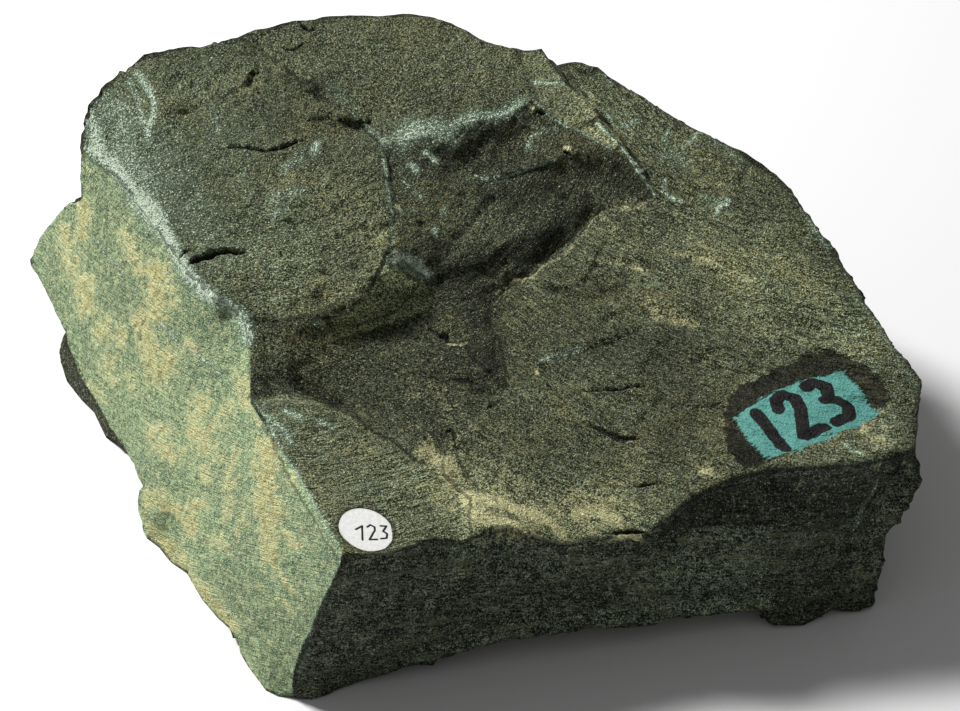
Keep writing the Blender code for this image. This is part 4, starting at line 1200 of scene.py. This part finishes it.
def shale_finish(name, painted):
    f = Finish(name, 0.72)
    f.shader.inputs["Specular IOR Level"].default_value = 0.2
    flow = f.mark("flow", "Vector")
    fine = f.grain(2700.0, 2.0, 0.65)
    grit = f.grain(5200.0, 1.0, 0.6)
    middling = f.grain(620.0, 4.0, 0.6)
    broad = f.grain(95.0, 2.0)
    streak = f.grain(1.0, 4.0, 0.65, places=flow, stretch=(0.45, 2.6, 0.5))
    hackle = f.grain(1.0, 2.0, 0.6, places=flow, stretch=(1.2, 5.0, 1.0))

    grains = f.scaled(fine, 1.8, -0.9)
    grains = f.plus(grains, f.scaled(grit, 2.9, -1.45))
    grains = f.plus(grains, f.scaled(streak, 0.8, -0.4))
    grains = f.plus(grains, f.scaled(hackle, 1.6, -0.8))
    tone = f.scaled(broad, 0.35, f.scaled(middling, 0.35, -0.35))
    tone = f.plus(grains, f.plus(tone, 0.27), clamp=True)
    colour = f.mix(tone, SHALE_DARK, SHALE_LIGHT)
    hue = f.grain(3100.0, 1.0, 0.5, places=f.vector("ADD", f.object_places, (0.3, 0.1, 0.2)))
    tint = f.mix(f.ramp(hue, 0.32, 0.68), TINT_OLIVE, TINT_BLUE)
    colour = f.tinted(colour, tint)
    warm = f.ramp(f.scaled(middling, 0.5, f.times(broad, 0.6)), 0.50, 0.72)
    colour = f.mix(warm, colour, f.tinted(colour, TINT_BROWN))
    # The front wall: a darker fresh break, partly its own colour and partly painted shade for a wall that
    # faces from the light.
    front = f.ramp(f.mark("front"), 0.35, 0.65)
    front_tone = f.scaled(grains, 0.8, f.scaled(middling, 1.0, -0.38), clamp=True)
    vein = f.ramp(f.grain(1.0, 3.0, 0.6, places=flow, stretch=(0.09, 0.8, 0.3)), 0.52, 0.68)
    wall = f.mix(f.times(vein, 0.50), f.mix(front_tone, FRONT_DARK_AND_SHADE, FRONT_LIGHT), FRONT_VEIN)
    colour = f.mix(front, colour, wall)
    # Painted light and shade, with some of the rock's own tone, as a factor on the colour and on the coat.
    shade = f.mark("shade")
    shades = f.tree.nodes.new("ShaderNodeCombineColor")
    for socket in shades.inputs[:3]:
        f.feed(socket, shade)
    colour = f.tinted(colour, shades.outputs[0])
    # Painted shade in hollows, slots and under lips, with fresh breaks and stains that are darker.
    shade_and_stain = f.plus(f.mark("shade_and_stain"), f.scaled(middling, 0.8, -0.4))
    shade_and_stain = f.ramp(shade_and_stain, 0.1, 0.9)
    colour = f.mix(shade_and_stain, colour, f.tinted(colour, SHADE_AND_STAIN_TINT))
    speck = f.grain(3600.0, 1.0, 0.7, places=f.vector("ADD", f.object_places, (0.5, 0.4, 0.1)))
    colour = f.laid(colour, SHALE_SPECK, speck, 0.68, 0.74, 0.7)

    dust_noise = f.scaled(middling, 1.1, f.scaled(fine, 1.3, -1.2))
    dusted = f.plus(f.mark("dust"), dust_noise)
    dust_colour = f.mix(f.ramp(grit, 0.35, 0.65), DUST_DEEP, DUST_LIGHT)
    colour = f.laid(colour, dust_colour, dusted, 0.15, 0.85, 0.95)

    joint = f.ramp(f.plus(f.mark("joint"), f.scaled(fine, 0.5, -0.25)), 0.40, 0.60)
    mottle = f.grain(900.0, 3.0, 0.7)
    coat = f.mix(f.ramp(f.scaled(fine, 0.8, mottle), 0.80, 0.98), COAT_GREEN, COAT_PALE)
    worn = f.scaled(broad, 0.7, f.scaled(fine, 0.9, middling))
    coat = f.laid(coat, COAT_GREY, worn, 1.20, 1.40, 0.75)
    coat = f.laid(coat, COAT_SPECK, grit, 0.53, 0.62, 0.75)
    coat = f.laid(coat, COAT_HOLE, hue, 0.53, 0.62, 0.65)
    coat = f.tinted(coat, shades.outputs[0])
    # Painted shade and stains on the coat, from the same strokes.
    coat = f.mix(f.times(shade_and_stain, 0.5), coat, COAT_SHADE_AND_STAIN)
    caked = f.scaled(middling, 1.5, f.scaled(fine, 1.9, f.scaled(mottle, 2.2, -2.8)))
    caked = f.scaled(grit, 1.2, f.plus(caked, -0.6))
    ochred = f.plus(f.mark("ochre"), caked)
    coat = f.laid(coat, OCHRE_HAZE, ochred, -0.25, 0.55, 0.65)
    coat = f.laid(coat, OCHRE_LIGHT, ochred, 0.38, 0.88, 0.90)
    deep = f.ramp(f.scaled(hue, 1.6, ochred), 1.60, 2.10)
    coat = f.mix(deep, coat, OCHRE_DEEP)
    colour = f.mix(joint, colour, coat)

    bruise = f.mark("bruise")
    colour = f.laid(colour, BRUISE_GREEN, bruise, 0.0, 0.7, 0.60)
    crushed = f.plus(bruise, f.scaled(fine, 2.2, f.scaled(grit, 1.8, -2.0)))
    colour = f.laid(colour, BRUISE_WHITE, crushed, 0.48, 0.92, 0.94)

    # Painted shade inside the open cracks.
    colour = f.laid(colour, CRACK_SHADE, f.mark("crack"), 0.25, 0.8, 0.85)
    if painted:
        colour = painted_number(f, colour, fine)
    f.feed(f.shader.inputs["Base Color"], colour)

    covered = f.mark("covered")
    f.feed(f.shader.inputs["Roughness"], f.scaled(covered, -0.24, 0.78))
    flake = f.grain(1.0, 4.0, 0.6, places=flow, stretch=(0.18, 0.60, 0.3))
    height = f.scaled(grit, 0.30, f.times(fine, 0.7))
    height = f.scaled(hackle, 0.9, height)
    height = f.scaled(streak, 0.9, height)
    height = f.scaled(f.ramp(flake, 0.500, 0.520), 0.30, height)
    height = f.scaled(f.ramp(flake, 0.410, 0.430), 0.30, height)
    height = f.times(height, f.scaled(covered, -0.65, 1.0))
    height = f.times(height, f.mark("coarse"))
    f.bump(height, 0.0009)
    return f.material


def paper_finish():
    f = Finish("paper", 0.55)
    local = f.flat(f.local_places(DOT_MIDDLE, flat_axes(DOT_NORMAL)))
    fibre = f.grain(1800.0, 3.0, 0.6)
    pen = f.plus(f.stroke_distance(local, DOT_DIGITS), f.scaled(fibre, 0.06, -0.03))
    ink = f.ramp(pen, DOT_PEN + 0.03, DOT_PEN - 0.03)
    paper = f.mix(f.ramp(fibre, 0.4, 0.65), PAPER_GREY, PAPER_WHITE)
    paper = f.laid(paper, PAPER_EDGE, f.vector("LENGTH", local), DOT_RADIUS - 0.35, DOT_RADIUS + 0.1, 0.25)
    f.feed(f.shader.inputs["Base Color"], f.mix(ink, paper, DOT_INK))
    f.bump(fibre, 0.00006)
    return f.material


def dot_mesh(stone):
    """A thin paper disc on the stone. Its rim follows the ground a little, and its edge is sharp."""
    ground = BVHTree.FromPolygons(
        [v.co[:] for v in stone.data.vertices], [p.vertices[:] for p in stone.data.polygons]
    )
    across, up, normal = flat_axes(DOT_NORMAL)
    middle = Vector(DOT_MIDDLE) * MM
    dot = bmesh.new()
    bmesh.ops.create_circle(dot, cap_ends=True, radius=DOT_RADIUS * MM, segments=DOT_SIDES)
    raised = bmesh.ops.extrude_face_region(dot, geom=dot.faces[:])
    top = {v for v in raised["geom"] if isinstance(v, bmesh.types.BMVert)}
    for vertex in dot.verts:
        flat = vertex.co.copy()
        place = middle + across * flat.x + up * flat.y
        hit, _, _, _ = ground.ray_cast(place + normal * DOT_LIFT * MM, -normal)
        rise = (hit - place).dot(normal) if hit else 0.0
        thickness = DOT_THICKNESS * MM if vertex in top else 0.0
        vertex.co = place + normal * (DOT_DRAPE * rise + thickness)
    bmesh.ops.recalc_face_normals(dot, faces=dot.faces)
    for face in dot.faces:
        face.smooth = True
    for edge in dot.edges:
        edge.smooth = edge.calc_face_angle(0.0) < radians(30.0)
    return written("number_dot", dot)


# --- the room -------------------------------------------------------------------------------------


# Places in metres, and power in watts.
KEY_PLACE, KEY_TARGET = (-0.50, 0.29, 0.63), (0.0, 0.0, 0.02)
KEY_SIZE, KEY_POWER = 0.20, 11.0
SKY_STRENGTH = 0.19
FLOOR_REACH, FLOOR_WHITE = 4.0, (0.80, 0.80, 0.80)
SENSOR_WIDTH = 36.0


def aimed(name, data, place, direction):
    """Puts a lamp or a camera in the room, looking along the direction."""
    piece = new_piece(name, data)
    piece.location = place
    piece.rotation_mode = "QUATERNION"
    piece.rotation_quaternion = Vector(direction).to_track_quat("-Z", "Y")
    return piece


def lay_floor():
    floor = bmesh.new()
    bmesh.ops.create_grid(floor, x_segments=1, y_segments=1, size=FLOOR_REACH)
    mesh = written("floor", floor)
    finish = Finish("pale_floor", 0.9)
    finish.feed(finish.shader.inputs["Base Color"], FLOOR_WHITE)
    mesh.materials.append(finish.material)
    piece = new_piece("floor", mesh)


def light_room():
    world = bpy.data.worlds.new("studio")
    bpy.context.scene.world = world
    world.use_nodes = True
    background = world.node_tree.nodes["Background"]
    background.inputs["Color"].default_value = (1.0, 1.0, 1.0, 1.0)
    background.inputs["Strength"].default_value = SKY_STRENGTH
    light = bpy.data.lights.new("key", "AREA")
    light.shape = "SQUARE"
    light.size = KEY_SIZE
    light.energy = KEY_POWER
    aimed("key", light, KEY_PLACE, Vector(KEY_TARGET) - Vector(KEY_PLACE))


def set_camera():
    camera = bpy.data.cameras.new("camera")
    camera.sensor_width = SENSOR_WIDTH
    camera.lens = SENSOR_WIDTH * EYE_DISTANCE / (GRID_COLUMNS * STEP)
    camera.clip_start = 0.01
    scene = bpy.context.scene
    scene.camera = aimed("camera", camera, EYE * MM, LINE_OF_SIGHT)
    scene.view_settings.view_transform = "Standard"


def main():
    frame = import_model()
    lay_floor()
    light_room()
    set_camera()
    stone = new_piece("shale_stone", stone_mesh(frame["nodes"]["shale_block"]))
    stone.data.materials.append(shale_finish("shale", False))
    stone.data.materials.append(shale_finish("painted_shale", True))
    for face in stone.data.polygons:
        near_patch = (face.center / MM - Vector(PATCH_MIDDLE)).length < PATCH_REACH
        face.material_index = 1 if near_patch and face.normal.z > 0.3 else 0
    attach(stone, "root")
    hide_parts("shale_block")

    dot = new_piece("paper_number_dot", dot_mesh(stone))
    dot.data.materials.append(paper_finish())
    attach(dot, "root")
    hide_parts("number_dot")


main()
